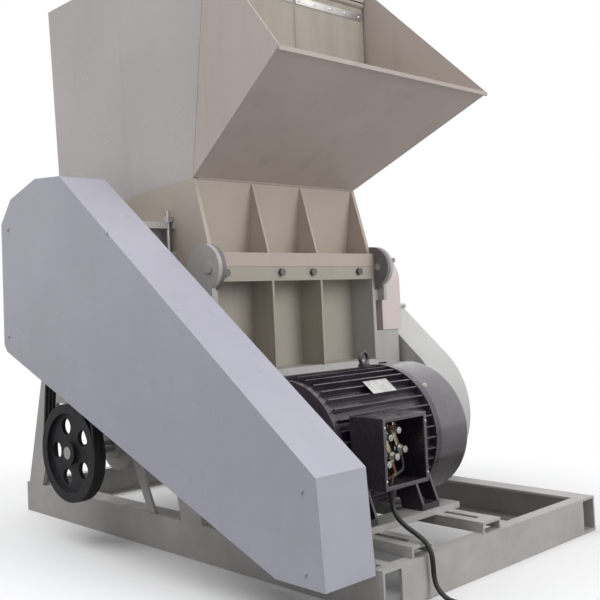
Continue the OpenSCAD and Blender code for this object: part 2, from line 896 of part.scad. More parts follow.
// Top sheet and front header in one fold
header_low = 2342;
module hopper_header() {
    color(paint) plate_yz([[front_y(header_low), header_low], [front_y(header_low) + sheet_t, header_low],
        [throat_top_y + sheet_t, hopper_top_z - sheet_t], [hopper_rear_top - 2 * sheet_t, hopper_top_z - sheet_t],
        [hopper_rear_top - 2 * sheet_t, hopper_top_z], [throat_top_y, hopper_top_z]], -sheet_in, 2 * sheet_in);
    color(steel) rod_x(curtain_rod_r, -sheet_in, sheet_in, curtain_y, curtain_rod_z);
}

// Feed chute: a sloping floor that widens to its lip, between two leaning triangular cheeks
cheek_z = 2400;
lip_fold = 13;
chute_rise = lip_z - chute_z;
chute_run = fold_y - lip_y;
chute_angle = atan(chute_rise / chute_run);
chute_len = norm([chute_run, chute_rise]);
chute_start = sheet_t * tan(chute_angle) + seat;
cheek_lean = atan(lean_rate);
lip_spread = lip_w / 2 - half_w;
cheek_y = -chute_run * cos(cheek_lean) + chute_rise * sin(cheek_lean);
cheek_rise = chute_run * sin(cheek_lean) + chute_rise * cos(cheek_lean);
cheek_turn = atan(lip_spread / -cheek_y);
cheek_out = norm([cheek_y, lip_spread]);
cheek_h = (cheek_z - chute_z) / cos(cheek_lean);
cheek_start = sheet_t * tan(cheek_turn) + seat;

module chute_cheek() {
    start_rise = cheek_start * cheek_rise / cheek_out;
    start_drop = cheek_start * (cheek_h - cheek_rise) / cheek_out;
    translate([half_w, fold_y, chute_z]) rotate([cheek_lean, 0, 0]) rotate([0, 0, cheek_turn])
        plate_yz([[-cheek_start, start_rise], [-cheek_start, cheek_h - start_drop], [-cheek_out, cheek_rise]],
            -sheet_t, sheet_t);
}

module feed_chute() {
    spread = lip_spread * chute_start / chute_len;
    color(paint) {
        translate([0, fold_y, chute_z]) rotate([-chute_angle, 0, 0]) linear_extrude(sheet_t)
            polygon([[-half_w - spread, -chute_start], [-lip_w / 2, -chute_len], [lip_w / 2, -chute_len],
                [half_w + spread, -chute_start]]);
        translate([-lip_w / 2, lip_y, lip_z - lip_fold]) cube([lip_w, sheet_t, lip_fold + sheet_t / 2]);
        both_sides() chute_cheek();
    }
}

// Two hanging curtain flaps on hems that turn on the header rod
curtain_y = -178;
curtain_rod_z = 2325;
curtain_rod_r = 8;
curtain_hem_r = 14;
curtain_low = 1560;
curtain_split = 17;
curtain_gap = 2;
curtain_side = 14;

module curtain(x0, x1) {
    rod_x(curtain_hem_r, x0, x1, curtain_y, curtain_rod_z);
    block([x0, curtain_y - curtain_t / 2, curtain_low], [x1, curtain_y + curtain_t / 2, curtain_rod_z]);
}

module curtain_left() {
    color(cream) difference() {
        curtain(-half_w + curtain_side, curtain_split - curtain_gap / 2);
        rod_x(curtain_rod_r + fit, -half_w, half_w, curtain_y, curtain_rod_z);
    }
}

module curtain_right() {
    color(cream) difference() {
        curtain(curtain_split + curtain_gap / 2, half_w - curtain_side);
        rod_x(curtain_rod_r + fit, -half_w, half_w, curtain_y, curtain_rod_z);
    }
}

// Belt guard: outer plate and wrapped edge sheet, open along its slanted lower side
guard_lap = 8;
guard_x = base_x + guard_reach;
guard_front = guard_lap - base_y;
guard_low = beam_h - guard_lap;
guard_shares = [
    [0.728, 0.989], [0.833, 1], [0.950, 0.9545], [0.9985, 0.881], [1, 0.494], [0.987, 0.472],
    [0.107, 0], [0, 0], [0.010, 0.231]
];
guard_points = [for (i = [len(guard_shares) - 1 : -1 : 0])
    [guard_front + guard_d * guard_shares[i][0], guard_low + guard_h * guard_shares[i][1]]];
guard_inner = inset_points(guard_points, guard_t);
guard_in_x = guard_w - guard_x;
open_from = 2;
open_to = 3;

module belt_guard() {
    a = guard_inner[open_from];
    b = guard_inner[open_to];
    out = guard_t * 2 * unit([b.y - a.y, a.x - b.x]);
    color(paint) difference() {
        plate_yz(guard_points, -guard_x, guard_w);
        plate_yz(guard_inner, guard_t - guard_x, guard_w);
        plate_yz([a, a + out, b + out, b], guard_t - guard_x, guard_w);
    }
}

module guard_back() {
    color(dark_paint) difference() {
        plate_yz(guard_inner, guard_in_x - guard_t, guard_t);
        rod_x(shaft_r + clear, guard_in_x - guard_t - cut, guard_in_x + cut, rotor_y, rotor_z);
        rod_x(motor_shaft_r + clear, guard_in_x - guard_t - cut, guard_in_x + cut, motor_y, motor_z);
    }
}

// Spacers between guard and stand, and a bolted tab on the base
spacer_r = 14;
guard_spacers = [[0, 600], [250, 630], [100, 760], [600, 760]];
tab_inset = 27;
tab_front = tab_inset - base_y;
tab_w = 50;
tab_t = 8;
tab_h = 60;
tab_in = base_x - tab_inset;

module guard_brackets() {
    color(steel) {
        for (p = guard_spacers) rod_x(spacer_r, guard_in_x, -base_x, p[0], p[1]);
        block([guard_in_x, tab_front, beam_h], [-tab_in, tab_front + tab_w, beam_h + tab_t]);
        block([guard_in_x, tab_front, beam_h], [guard_in_x + tab_t, tab_front + tab_w, beam_h + tab_h]);
        translate([-base_x + tab_w / 4, tab_front + tab_w / 2, beam_h + tab_t]) hex_head(tab_w / 4, tab_t);
    }
}

// Motor places
bar_low = beam_h + rail_h;
foot_z = bar_low + bar_h;
motor_z = foot_z + motor_h;
motor_end = motor_x + motor_len;
bell_w = 80;
core_r = 225;
gusset_share = 0.55;
gusset_drop = 0.78;
gusset_out = 0.88;
fin_t = 5;
fin_root_r = 215;
fin_tip_r = 250;
ring_w = 30;
cowl_x = -40;
ring_x = cowl_x - ring_w;
frame_x = motor_x + bell_w;
foot_span = 203;
foot_w = 92;
foot_plate_h = 22;
foot_places = [-520, -170];
foot_len = 100;
bar_x = -540;
bar_len = 580;
bar_w = 88;
rail_places = [-503, -104];
slot_w = 24;
rail_t = 9;
slot_end = 55;
motor_bolt_r = 16;
motor_bolt_h = 14;

module motor_rails() {
    color(paint) {
        for (x = rail_places) difference() {
            block([x, rail_front, beam_h], [x + rail_w, rail_rear, bar_low]);
            block([x + rail_t, rail_front - cut, beam_h - cut], [x + rail_w - rail_t, rail_rear + cut, bar_low - rail_t]);
            block([x + rail_w / 2 - slot_w / 2, rail_front + slot_end, bar_low - 2 * rail_t],
                [x + rail_w / 2 + slot_w / 2, rail_rear - slot_end, bar_low + cut]);
        }
        for (s = [-1, 1])
            translate([bar_x, motor_y + s * (foot_span + rib_t) - bar_w / 2, bar_low]) cube([bar_len, bar_w, bar_h]);
    }
}

module motor_frame() {
    gusset_in = core_r * gusset_share;
    gusset_low = -core_r * gusset_drop;
    color(motor_black) translate([0, motor_y, motor_z]) {
        difference() {
            union() {
                translate([frame_x, 0, 0]) rotate([90, 0, 90]) rotate(180 / fin_count)
                    cylinder(r = core_r, h = ring_x - frame_x, $fn = arc_fn);
                for (i = [0 : fin_count - 1]) rotate([i * 360 / fin_count, 0, 0])
                    translate([frame_x, -fin_t / 2, fin_root_r]) cube([ring_x - frame_x, fin_t, fin_tip_r - fin_root_r]);
                for (x = foot_places, s = [-1, 1]) {
                    translate([x, s > 0 ? foot_span - foot_w / 2 : -foot_span - foot_w / 2, -motor_h])
                        cube([foot_len, foot_w, foot_plate_h]);
                    for (e = [0, foot_len - rib_t])
                        translate([x + e, 0, 0]) profile_yz(0, rib_t)
                            polygon([[s * (foot_span + foot_w / 2), -motor_h + foot_plate_h],
                                [s * core_r * gusset_out, gusset_low / 2], [s * gusset_in, gusset_low],
                                [s * (foot_span - foot_w / 2), -motor_h + foot_plate_h]]);
                }
                translate([box_x + box_neck, -fin_tip_r - box_gap, -box_neck_h / 2])
                    cube([box_neck_w, fin_tip_r - core_r + 2 * box_gap, box_neck_h]);
            }
            rod_x(motor_shaft_r + clear, frame_x - cut, ring_x + cut, 0, 0);
        }
    }
    color(steel) for (x = foot_places, s = [-1, 1])
        translate([x + foot_len / 2, motor_y + s * foot_span, foot_z + foot_plate_h]) hex_head(motor_bolt_r, motor_bolt_h);
    color(motor_black) translate([eye_x, motor_y, motor_z + fin_tip_r - cut]) {
        cylinder(r = eye_r, h = eye_base + cut);
        translate([0, 0, eye_base + eye_r]) rotate([90, 0, 0]) rotate_extrude() translate([eye_r, 0]) circle(r = eye_wire);
    }
}

eye_x = -150;
eye_r = 22;
eye_wire = 7;
eye_base = 12;

// Drive-end bell and fan-end bearing ring
bell_r = 235;
bell_hub_r = 92;
bell_hub_w = 18;
bell_mid_r = 175;
bell_flat = 22;

module motor_bells() {
    color(motor_black) translate([0, motor_y, motor_z]) difference() {
        union() {
            rotate([0, 90, 0]) translate([0, 0, motor_x]) rotate_extrude($fn = arc_fn)
                polygon([[0, 0], [bell_hub_r, 0], [bell_hub_r, bell_hub_w], [bell_mid_r, 2 * bell_flat],
                    [bell_r, bell_w - bell_flat], [bell_r, bell_w], [0, bell_w]]);
            rod_x(motor_r, ring_x, cowl_x, 0, 0);
        }
        rod_x(motor_shaft_r + fit, motor_x - cut, cowl_x + cut, 0, 0);
    }
}

// Fan cowl: a thin bell with slotted end
cowl_t = 3;
cowl_round = 34;
slot_rings = 5;
cowl_slot_w = 9;
cowl_slot_pitch = 32;
cowl_slot_start = 52;
cowl_web = 14;
cowl_lap = 4;

module fan_cowl() {
    depth = motor_end - cowl_x;
    color(motor_black) translate([cowl_x, motor_y, motor_z]) rotate([90, 0, 90]) difference() {
        union() {
            cylinder(r = motor_r, h = depth - cowl_round, $fn = arc_fn);
            cylinder(r = motor_r - cowl_round, h = depth, $fn = arc_fn);
            translate([0, 0, depth - cowl_round]) rotate_extrude($fn = arc_fn)
                translate([motor_r - cowl_round, 0]) circle(r = cowl_round);
        }
        translate([0, 0, -cut]) cylinder(r = motor_r - cowl_t, h = depth - cowl_round + cut, $fn = arc_fn);
        cylinder(r = motor_r - cowl_round, h = depth - cowl_t, $fn = arc_fn);
        for (i = [0 : slot_rings - 1]) difference() {
            translate([0, 0, depth - 2 * cowl_t])
                cylinder(r = cowl_slot_start + i * cowl_slot_pitch + cowl_slot_w, h = 4 * cowl_t);
            translate([0, 0, depth - 3 * cowl_t])
                cylinder(r = cowl_slot_start + i * cowl_slot_pitch, h = 6 * cowl_t);
            for (a = [0, 90])
                rotate(a) translate([-motor_r, -cowl_web / 2, depth - 3 * cowl_t])
                    cube([2 * motor_r, cowl_web, 6 * cowl_t]);
        }
    }
}

// Motor shaft and its cooling fan
tail_r = 24;
tail_end = 118;
fan_x = 0;
fan_w = 84;
fan_r = 205;
fan_hub_r = 48;
fan_root_r = 40;
fan_rim = 5;
fan_blades = 8;
fan_t = 5;

module motor_shaft() {
    color(steel) {
        rod_x(motor_shaft_r, main_x - rib_t, cowl_x, motor_y, motor_z);
        rod_x(tail_r, cowl_x, tail_end, motor_y, motor_z);
    }
}

module cooling_fan() {
    color(iron) translate([fan_x, motor_y, motor_z]) rotate([90, 0, 90]) difference() {
        union() {
            cylinder(r = fan_hub_r, h = fan_w);
            cylinder(r = fan_r, h = fan_t);
            for (i = [0 : fan_blades - 1])
                rotate(i * 360 / fan_blades) translate([fan_root_r, -fan_t / 2, fan_t / 2])
                    cube([fan_r - fan_rim - fan_root_r, fan_t, fan_w - fan_t / 2]);
        }
        translate([0, 0, -cut]) cylinder(r = tail_r + fit, h = fan_w + 2 * cut);
    }
}

// Terminal box, open at the front, with its board and studs
box_x = -548;
box_depth = 135;
box_t = 6;
box_gap = 4;
box_neck = 58;
box_neck_w = 110;
box_neck_h = 110;
box_low = 341;
board_w = 150;
board_h = 90;
board_t = 14;
stud_r = 5;
stud_h = 34;
stud_pitch = 46;
stud_rows = 2;
stud_columns = 3;
box_back = motor_y - fin_tip_r - box_gap;
box_front = box_back - box_depth;

module terminal_box() {
    mid_x = box_x + terminal_w / 2;
    mid_z = box_low + terminal_w / 2;
    color(motor_black) difference() {
        block([box_x, box_front, box_low], [box_x + terminal_w, box_back, box_low + terminal_w]);
        block([box_x + box_t, box_front - cut, box_low + box_t],
            [box_x + terminal_w - box_t, box_back - box_t, box_low + terminal_w - box_t]);
    }
    color(iron) block([mid_x - board_w / 2, box_back - box_t - board_t, mid_z - board_h / 2],
        [mid_x + board_w / 2, box_back - box_t, mid_z + board_h / 2]);
    color(steel) for (i = [0 : stud_columns - 1], j = [0 : stud_rows - 1])
        translate([mid_x + (i - (stud_columns - 1) / 2) * stud_pitch, box_back - box_t - board_t,
            mid_z + (j - (stud_rows - 1) / 2) * stud_pitch])
            rotate([90, 0, 0]) cylinder(r = stud_r, h = stud_h - board_t);
}

// Tapered gland under the terminal box
gland_x = -455;
gland_y = -950;
gland_nut_r = 19;
gland_nut_h = 14;
gland_top_r = 15;
gland_low_r = 10.5;
gland_h = 27;
cable_r = cable_d / 2;
gland_low = box_low - gland_nut_h - gland_h;

module cable_gland() {
    color(iron) translate([gland_x, gland_y, 0]) difference() {
        union() {
            translate([0, 0, box_low - gland_nut_h]) cylinder(r = gland_nut_r, h = gland_nut_h, $fn = 6);
            translate([0, 0, gland_low]) cylinder(r1 = gland_low_r, r2 = gland_top_r, h = gland_h);
        }
        translate([0, 0, gland_low - cut]) cylinder(r = cable_r + fit, h = cable_d + cut);
    }
}

// Right cover over the drive-free bearing
cover_off = 48;
cover_w = 140;
cover_in = half_w + cover_off;
cover_out = cover_in + cover_w;
cover_front = -165;
cover_rear = 850;
cover_top = 1170;
cover_round = 140;
cover_t = 3;
cover_slot = 62;
cover_low = pedestal_top + seat;

module cover_shape(front, rear, low, top, round) {
    translate([front, low]) square([rear - front, top - round - low]);
    translate([front + round, low]) square([rear - front - 2 * round, top - low]);
    for (y = [front + round, rear - round]) translate([y, top - round]) circle(r = round, $fn = arc_fn);
}

module right_cover() {
    color(paint) difference() {
        profile_yz(cover_in, cover_out - cover_in) cover_shape(cover_front, cover_rear, cover_low, cover_top, cover_round);
        profile_yz(cover_in + cover_t, cover_out - cover_in - 2 * cover_t)
            cover_shape(cover_front + cover_t, cover_rear - cover_t, cover_low - cut, cover_top - cover_t,
                cover_round - cover_t);
        rod_x(cover_slot, cover_in - cut, cover_in + cover_t + cut, rotor_y, rotor_z);
        block([cover_in - cut, rotor_y - cover_slot, cover_low - cut], [cover_in + cover_t + cut, rotor_y + cover_slot, rotor_z]);
    }
}

// Discharge trough under the screen, with its screw and the suction duct to the blower
trough_t = 4;
trough_gap = 6;
trough_short = 27;
trough_end = base_x - trough_short;
trough_in_r = screw_r + trough_gap;
trough_out_r = trough_in_r + trough_t;
bearing_flange_r = 52;
bearing_flange_w = 26;
duct_half = 50;
duct_off = 107;
duct_x = base_x - duct_off;
blower_y = 3;
blower_off = 23;
blower_in = base_x + blower_off;

trough_foot_share = 0.9;
trough_foot = trough_out_r * trough_foot_share;
trough_points = [
    [low_front_in - trough_t, deck_low], [rotor_y - trough_foot, screw_z], [rotor_y + trough_foot, screw_z],
    [rear_in + trough_t, deck_low]
];
trough_edge_z = deck_low + 4 * trough_t;
trough_tall = concat([[low_front_in - trough_t, trough_edge_z]], trough_points,
    [[rear_in + trough_t, trough_edge_z]]);

// Square duct of half width h, from the trough forward and then outward to the blower
module suction_duct(h, overrun) {
    block([duct_x - h, blower_y - h, blower_z - h], [duct_x + h, rotor_y, blower_z + h]);
    block([duct_x - h, blower_y - h, blower_z - h], [blower_in + overrun, blower_y + h, blower_z + h]);
}

module screw_trough() {
    color(paint) difference() {
        union() {
            profile_yz(-inner_x - trough_t, 2 * inner_x + 2 * trough_t) polygon(trough_points);
            rod_x(trough_out_r, -trough_end, trough_end, rotor_y, screw_z);
            for (s = [-1, 1])
                rod_x(bearing_flange_r, min(s * trough_end, s * (trough_end + bearing_flange_w)),
                    max(s * trough_end, s * (trough_end + bearing_flange_w)), rotor_y, screw_z);
            suction_duct(duct_half, 0);
        }
        plate_yz(inset_points(trough_tall, trough_t), -inner_x, 2 * inner_x);
        rod_x(trough_in_r, trough_t - trough_end, trough_end - trough_t, rotor_y, screw_z);
        rod_x(screw_shaft_r + fit, -trough_end - 2 * bearing_flange_w, trough_end + 2 * bearing_flange_w, rotor_y, screw_z);
        suction_duct(duct_half - trough_t, cut);
    }
}

// Screw shaft with one continuous flight
flight_pitch = 170;
flight_t = 7;
flight_end = 470;
flight_steps = 16;

// Helical plate round the X axis: four corners of its section are carried along the helix
module flight(r_in, r_out, x0, x1, t, pitch) {
    last = ceil(flight_steps * (x1 - x0) / pitch);
    points = [
        for (i = [0 : last]) let (x = x0 + (x1 - x0) * i / last, a = 360 * (x - x0) / pitch)
            each [for (q = [[r_in, 0], [r_out, 0], [r_out, t], [r_in, t]])
                [x + q[1], q[0] * cos(a), q[0] * sin(a)]]
    ];
    wall = [
        for (i = [0 : last - 1], k = [0 : 3])
            let (a = 4 * i + k, b = 4 * i + (k + 1) % 4)
            each [[a, b, a + 4], [b, b + 4, a + 4]]
    ];
    o = 4 * last;
    polyhedron(points = points, faces = concat(wall, [[0, 3, 2], [0, 2, 1], [o, o + 1, o + 2], [o, o + 2, o + 3]]));
}

module screw_shaft() {
    color(steel) {
        rod_x(screw_shaft_r, second_x - clear, trough_end + bearing_flange_w - clear, rotor_y, screw_z);
        translate([0, rotor_y, screw_z])
            flight(screw_shaft_r + fit, screw_r, -flight_end, flight_end - flight_t, flight_t, flight_pitch);
    }
}

// Blower casing: a round body with a rising outlet duct that leaves along its top tangent
outlet_angle = 43.4;
outlet_depth = 230;
outlet_len = 349;
casing_w = 224;
casing_t = 4;
blower_shaft_r = 19;
blower_spacers = [[-100, 80], [100, 80], [150, 600]];

module casing_shape(r, inset, overrun) {
    circle(r = r, $fn = arc_fn);
    rotate(outlet_angle) translate([0, r - outlet_depth + 2 * inset]) square([outlet_len + overrun, outlet_depth - 2 * inset]);
}

module blower_housing() {
    color(paint) {
        difference() {
            profile_yz(blower_in, casing_w) translate([blower_y, blower_z]) casing_shape(blower_r, 0, 0);
            profile_yz(blower_in + casing_t, casing_w - 2 * casing_t) translate([blower_y, blower_z])
                casing_shape(blower_r - casing_t, casing_t, cut);
            rod_x(duct_half - trough_t, blower_in - cut, blower_in + casing_t + cut, blower_y, blower_z);
            rod_x(blower_shaft_r + clear, blower_in + casing_w - casing_t - cut, blower_in + casing_w + cut,
                blower_y, blower_z);
        }
        for (p = blower_spacers) rod_x(spacer_r, base_x, blower_in, p[0], p[1]);
    }
}

// Blower wheel with its shaft
wheel_x = 740;
wheel_w = 140;
wheel_t = 6;
wheel_hub_r = 45;
wheel_blades = 8;
wheel_sweep = 20;
blower_shaft_end = 940;

module blower_wheel() {
    color(steel) {
        translate([wheel_x, blower_y, blower_z]) rotate([90, 0, 90]) {
            translate([0, 0, wheel_w - wheel_t]) cylinder(r = impeller_r, h = wheel_t);
            translate([0, 0, wheel_w / 2]) cylinder(r = wheel_hub_r, h = wheel_w / 2);
            for (i = [0 : wheel_blades - 1]) rotate(i * 360 / wheel_blades)
                translate([wheel_hub_r, 0, 0]) rotate(wheel_sweep)
                    translate([-wheel_t, -wheel_t / 2, 0])
                        cube([impeller_r * cos(wheel_sweep) - wheel_hub_r + wheel_t, wheel_t, wheel_w]);
        }
        rod_x(blower_shaft_r, wheel_x + wheel_w / 2, blower_shaft_end, blower_y, blower_z);
    }
}

// Flanged motor on the outer side of the blower casing
small_flange_r = 130;
small_flange_w = 12;
small_core_r = 92;
small_fin_r = 104;
small_fins = 24;
small_len = 170;
small_cowl_r = 108;
small_cowl_w = 60;

module blower_motor() {
    x0 = blower_in + casing_w;
    color(motor_black) translate([x0, blower_y, blower_z]) rotate([90, 0, 90]) difference() {
        union() {
            cylinder(r = small_flange_r, h = small_flange_w);
            cylinder(r = small_core_r, h = small_flange_w + small_len);
            for (i = [0 : small_fins - 1]) rotate(i * 360 / small_fins)
                translate([0, -casing_t / 2, 0]) cube([small_fin_r, casing_t, small_flange_w + small_len]);
            translate([0, 0, small_flange_w + small_len]) cylinder(r = small_cowl_r, h = small_cowl_w - bell_hub_w);
            translate([0, 0, small_flange_w + small_len + small_cowl_w - bell_hub_w])
                cylinder(r1 = small_cowl_r, r2 = small_core_r, h = bell_hub_w);
        }
        translate([0, 0, -cut]) cylinder(r = blower_shaft_r + fit, h = blower_shaft_end - x0 + clear + cut);
    }
}

// Supply cable: the stretch from the gland down to the floor and along it to the coil
cable_route = [
    [-455, -950, 300], [-455, -950, 290], [-454.8, -954.8, 262.6], [-454, -968.7, 238.6], [-453, -992.4, 219.4],
    [-451, -1022, 203.6], [-449, -1050, 188.8], [-447, -1069.6, 172.9], [-445, -1081, 153.1],
    [-443, -1085, 130.5], [-440, -1085, 102], [-438, -1085, 74], [-436.5, -1090, 48.7], [-435, -1104.3, 27.3],
    [-434, -1125.7, 13], [-433, -1151, 8], [-434, -1205, 8], [-446, -1268, 8], [-465, -1330, 8],
    [-480, -1384, 8], [-480, -1400, 8]
];
route_steps = 2;
cable_sides = 8;

// Smooth curve through the route's points
function spline(p, i, t) =
    let (a = p[max(i - 1, 0)], b = p[i], c = p[i + 1], d = p[min(i + 2, len(p) - 1)])
    0.5 * ((2 * b) + (c - a) * t + (2 * a - 5 * b + 4 * c - d) * t * t + (3 * b - a - 3 * c + d) * t * t * t);
function spline_path(p, steps) = [
    for (i = [0 : len(p) - 2], k = [0 : steps - 1]) spline(p, i, k / steps), p[len(p) - 1]
];

// Direction of a path at each of its points, and a normal carried along it without twist
function directions(p) = [
    for (i = [0 : len(p) - 1]) unit(p[min(i + 1, len(p) - 1)] - p[max(i - 1, 0)])
];
function carry(n, d) = unit(n - (n * d) * d);
function normals(d, n, i = 0) = i == len(d) ? [] : let (m = carry(n, d[i])) concat([m], normals(d, m, i + 1));

// Closed tube of the given radius and number of sides along a path
module tube_along(path, r, sides, first_normal) {
    d = directions(path);
    n = normals(d, first_normal);
    last = len(path) - 1;
    points = [
        for (i = [0 : last], k = [0 : sides - 1])
            let (a = k * 360 / sides, b = cross(d[i], n[i]))
            path[i] + r * (cos(a) * n[i] + sin(a) * b)
    ];
    wall = [
        for (i = [0 : last - 1], k = [0 : sides - 1])
            let (a = i * sides + k, b = i * sides + (k + 1) % sides)
            each [[a, a + sides, b], [b, a + sides, b + sides]]
    ];
    first = [for (k = [1 : sides - 2]) [0, k, k + 1]];
    end = [for (k = [1 : sides - 2]) let (o = last * sides) [o, o + k + 1, o + k]];
    polyhedron(points = points, faces = concat(wall, first, end));
}

function path_length(p) = len(p) < 2 ? 0 : [for (i = [1 : len(p) - 1]) norm(p[i] - p[i - 1])] * [for (i = [1 : len(p) - 1]) 1];

route_path = spline_path(cable_route, route_steps);

module supply_cable() {
    color(rubber) tube_along(route_path, cable_r, cable_sides, [1, 0, 0]);
}

// The rest of the cable lies in a round coil: in, up one layer while the spiral turns back, and out
coil_turns = 3.5;
coil_sides = 6;
coil_rings = 24;
coil_pack = 1.15;
coil_mid_diameters = 6;
coil_pitch = cable_d * coil_pack;
coil_mid_r = cable_d * coil_mid_diameters;
coil_climb = 0.5;
coil_start = cable_route[len(cable_route) - 1];
coil_out_r = coil_mid_r + coil_pitch * coil_turns / 2;
coil_in_r = coil_out_r - coil_pitch * coil_turns;
coil_center = [coil_start.x - coil_out_r, coil_start.y - cable_d];
coil_low = coil_start.z;
coil_rise = coil_pitch;
coil_all = 2 * coil_turns + coil_climb;

function coil_radius(s) =
    s < coil_turns ? coil_out_r - coil_pitch * s :
    s < coil_turns + coil_climb ? coil_in_r : coil_in_r + coil_pitch * (s - coil_turns - coil_climb);
function coil_height(s) =
    coil_low + coil_rise * min(max((s - coil_turns) / coil_climb, 0), 1);
function coil_point(s) = [
    coil_center.x + coil_radius(s) * cos(360 * s), coil_center.y - coil_radius(s) * sin(360 * s), coil_height(s)
];
coil_body = [for (k = [0 : coil_rings * coil_all]) coil_point(k / coil_rings)];
coil_last = coil_body[len(coil_body) - 1];
coil_way = unit(coil_last - coil_body[len(coil_body) - 2]);
coil_path = concat([coil_start], coil_body, [coil_last + cable_d * coil_way]);
coil_gap = min([
    for (i = [0 : len(coil_body) - 1], j = [i + coil_rings / 2 : 1 : len(coil_body) - 1])
        norm(coil_body[i] - coil_body[j])
]) - cable_d;
echo(cable_coil_least_gap = coil_gap, cable_length = path_length(route_path) + path_length(coil_path));

module cable_coil() {
    color(rubber) tube_along(coil_path, cable_r, coil_sides, [1, 0, 0]);
}

// Round industrial plug at the far end of the coil
plug_neck_r = 14;
plug_neck_len = 34;
plug_grip_r = 24;
plug_grip_len = 62;
plug_collar_r = coil_low + coil_rise - seat;
plug_collar_len = 52;
plug_t = 4;
pin_r = 3.5;
pin_len = 34;
pin_at = 13;
plug_pins = 5;

module cable_plug() {
    turn = atan2(coil_way.y, coil_way.x);
    from = coil_path[len(coil_path) - 1];
    color(iron) translate(from) rotate([0, 90, turn]) {
        cylinder(r1 = gland_low_r, r2 = plug_neck_r, h = plug_neck_len);
        translate([0, 0, plug_neck_len]) cylinder(r = plug_grip_r, h = plug_grip_len);
        translate([0, 0, plug_neck_len + plug_grip_len]) difference() {
            cylinder(r = plug_collar_r, h = plug_collar_len);
            translate([0, 0, plug_t]) cylinder(r = plug_collar_r - plug_t, h = plug_collar_len);
        }
        for (i = [0 : plug_pins - 1]) rotate(i * 360 / plug_pins)
            translate([pin_at, 0, plug_neck_len + plug_grip_len]) cylinder(r = pin_r, h = plug_t + pin_len);
    }
}

side_beams();
cross_beams();
stand_sides();
stand_deck();
bearing_pedestals();
chamber_ends();
chamber_front();
chamber_rear();
knife_seats();
bed_knives();
screen();
screen_cradle();
flange_bolts();
bearing_housings();
lower_ears();
bolt_lugs();
rotor_shaft();
rotor_discs();
rotor_knives();
rotor_pulley();
screw_drive_pulley();
upper_front();
upper_ends();
upper_rear();
upper_ears();
clamp_shelves();
hopper_left();
hopper_right();
hopper_back();
hopper_header();
feed_chute();
curtain_left();
curtain_right();
clamp_bolt_left_front();
clamp_bolt_left_rear();
clamp_bolt_right_front();
clamp_bolt_right_rear();
belt_guard();
guard_back();
guard_brackets();
drive_belts();
motor_rails();
motor_frame();
motor_bells();
fan_cowl();
motor_shaft();
motor_pulley();
cooling_fan();
terminal_box();
cable_gland();
right_cover();
screw_trough();
screw_shaft();
screw_pulley();
blower_housing();
blower_motor();
blower_wheel();
supply_cable();
cable_coil();
cable_plug();
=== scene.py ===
import json
import math

import bmesh
import bpy
from mathutils import Matrix, Vector


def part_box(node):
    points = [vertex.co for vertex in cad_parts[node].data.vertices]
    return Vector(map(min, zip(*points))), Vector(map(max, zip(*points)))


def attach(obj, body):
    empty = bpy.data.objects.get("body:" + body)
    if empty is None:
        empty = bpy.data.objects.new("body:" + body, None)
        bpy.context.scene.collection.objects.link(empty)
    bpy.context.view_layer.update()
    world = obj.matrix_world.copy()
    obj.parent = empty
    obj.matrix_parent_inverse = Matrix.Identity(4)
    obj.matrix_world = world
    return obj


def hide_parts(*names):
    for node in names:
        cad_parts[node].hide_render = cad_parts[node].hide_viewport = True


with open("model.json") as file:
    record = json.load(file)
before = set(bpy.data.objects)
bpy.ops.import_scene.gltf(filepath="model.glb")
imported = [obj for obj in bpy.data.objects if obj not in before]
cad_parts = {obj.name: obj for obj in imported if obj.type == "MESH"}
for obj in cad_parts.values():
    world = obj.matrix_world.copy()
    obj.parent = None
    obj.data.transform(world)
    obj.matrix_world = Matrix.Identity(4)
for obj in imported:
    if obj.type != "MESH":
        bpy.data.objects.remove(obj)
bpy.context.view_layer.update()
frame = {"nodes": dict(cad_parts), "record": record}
scene = bpy.context.scene


# Camera, fitted to the photograph

CAMERA_TURNS = (40.4, -2.7, -2.3)
CAMERA_PLACE = (-2.7828, -2.7664, 0.9525)
LENS_MM = 52.73
PICTURE_SHIFT = (0.1675, -0.0613)


def make_camera():
    yaw, pitch, roll = (math.radians(turn) for turn in CAMERA_TURNS)
    forward = Vector((math.sin(yaw) * math.cos(pitch), math.cos(yaw) * math.cos(pitch), -math.sin(pitch)))
    level = Vector((math.cos(yaw), -math.sin(yaw), 0))
    up = level.cross(forward)
    right = level * math.cos(roll) + up * math.sin(roll)
    top = up * math.cos(roll) - level * math.sin(roll)
    data = bpy.data.cameras.new("camera")
    data.sensor_width = 36
    data.lens = LENS_MM
    data.shift_x, data.shift_y = PICTURE_SHIFT
    data.clip_end = 200
    camera = bpy.data.objects.new("camera", data)
    turn = Matrix((right, top, -forward)).transposed().to_4x4()
    camera.matrix_world = Matrix.Translation(CAMERA_PLACE) @ turn
    scene.collection.objects.link(camera)
    scene.camera = camera


make_camera()


# Mesh helpers

def link(name, mesh):
    piece = bpy.data.objects.new(name, mesh)
    scene.collection.objects.link(piece)
    return piece


def mesh_piece(name, bm, material, body, smooth=True, angle=35):
    mesh = bpy.data.meshes.new(name)
    bmesh.ops.recalc_face_normals(bm, faces=bm.faces)
    bm.to_mesh(mesh)
    bm.free()
    piece = link(name, mesh)
    mesh.materials.append(material)
    if smooth:
        mesh.polygons.foreach_set("use_smooth", [True] * len(mesh.polygons))
        mesh.set_sharp_from_angle(angle=math.radians(angle))
    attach(piece, body)
    return piece


def axis_frame(axis):
    return Vector(axis).normalized().to_track_quat("Z", "Y").to_matrix().to_4x4()


def place(at, axis=(0, 0, 1), turn=0.0):
    return Matrix.Translation(at) @ axis_frame(axis) @ Matrix.Rotation(turn, 4, "Z")


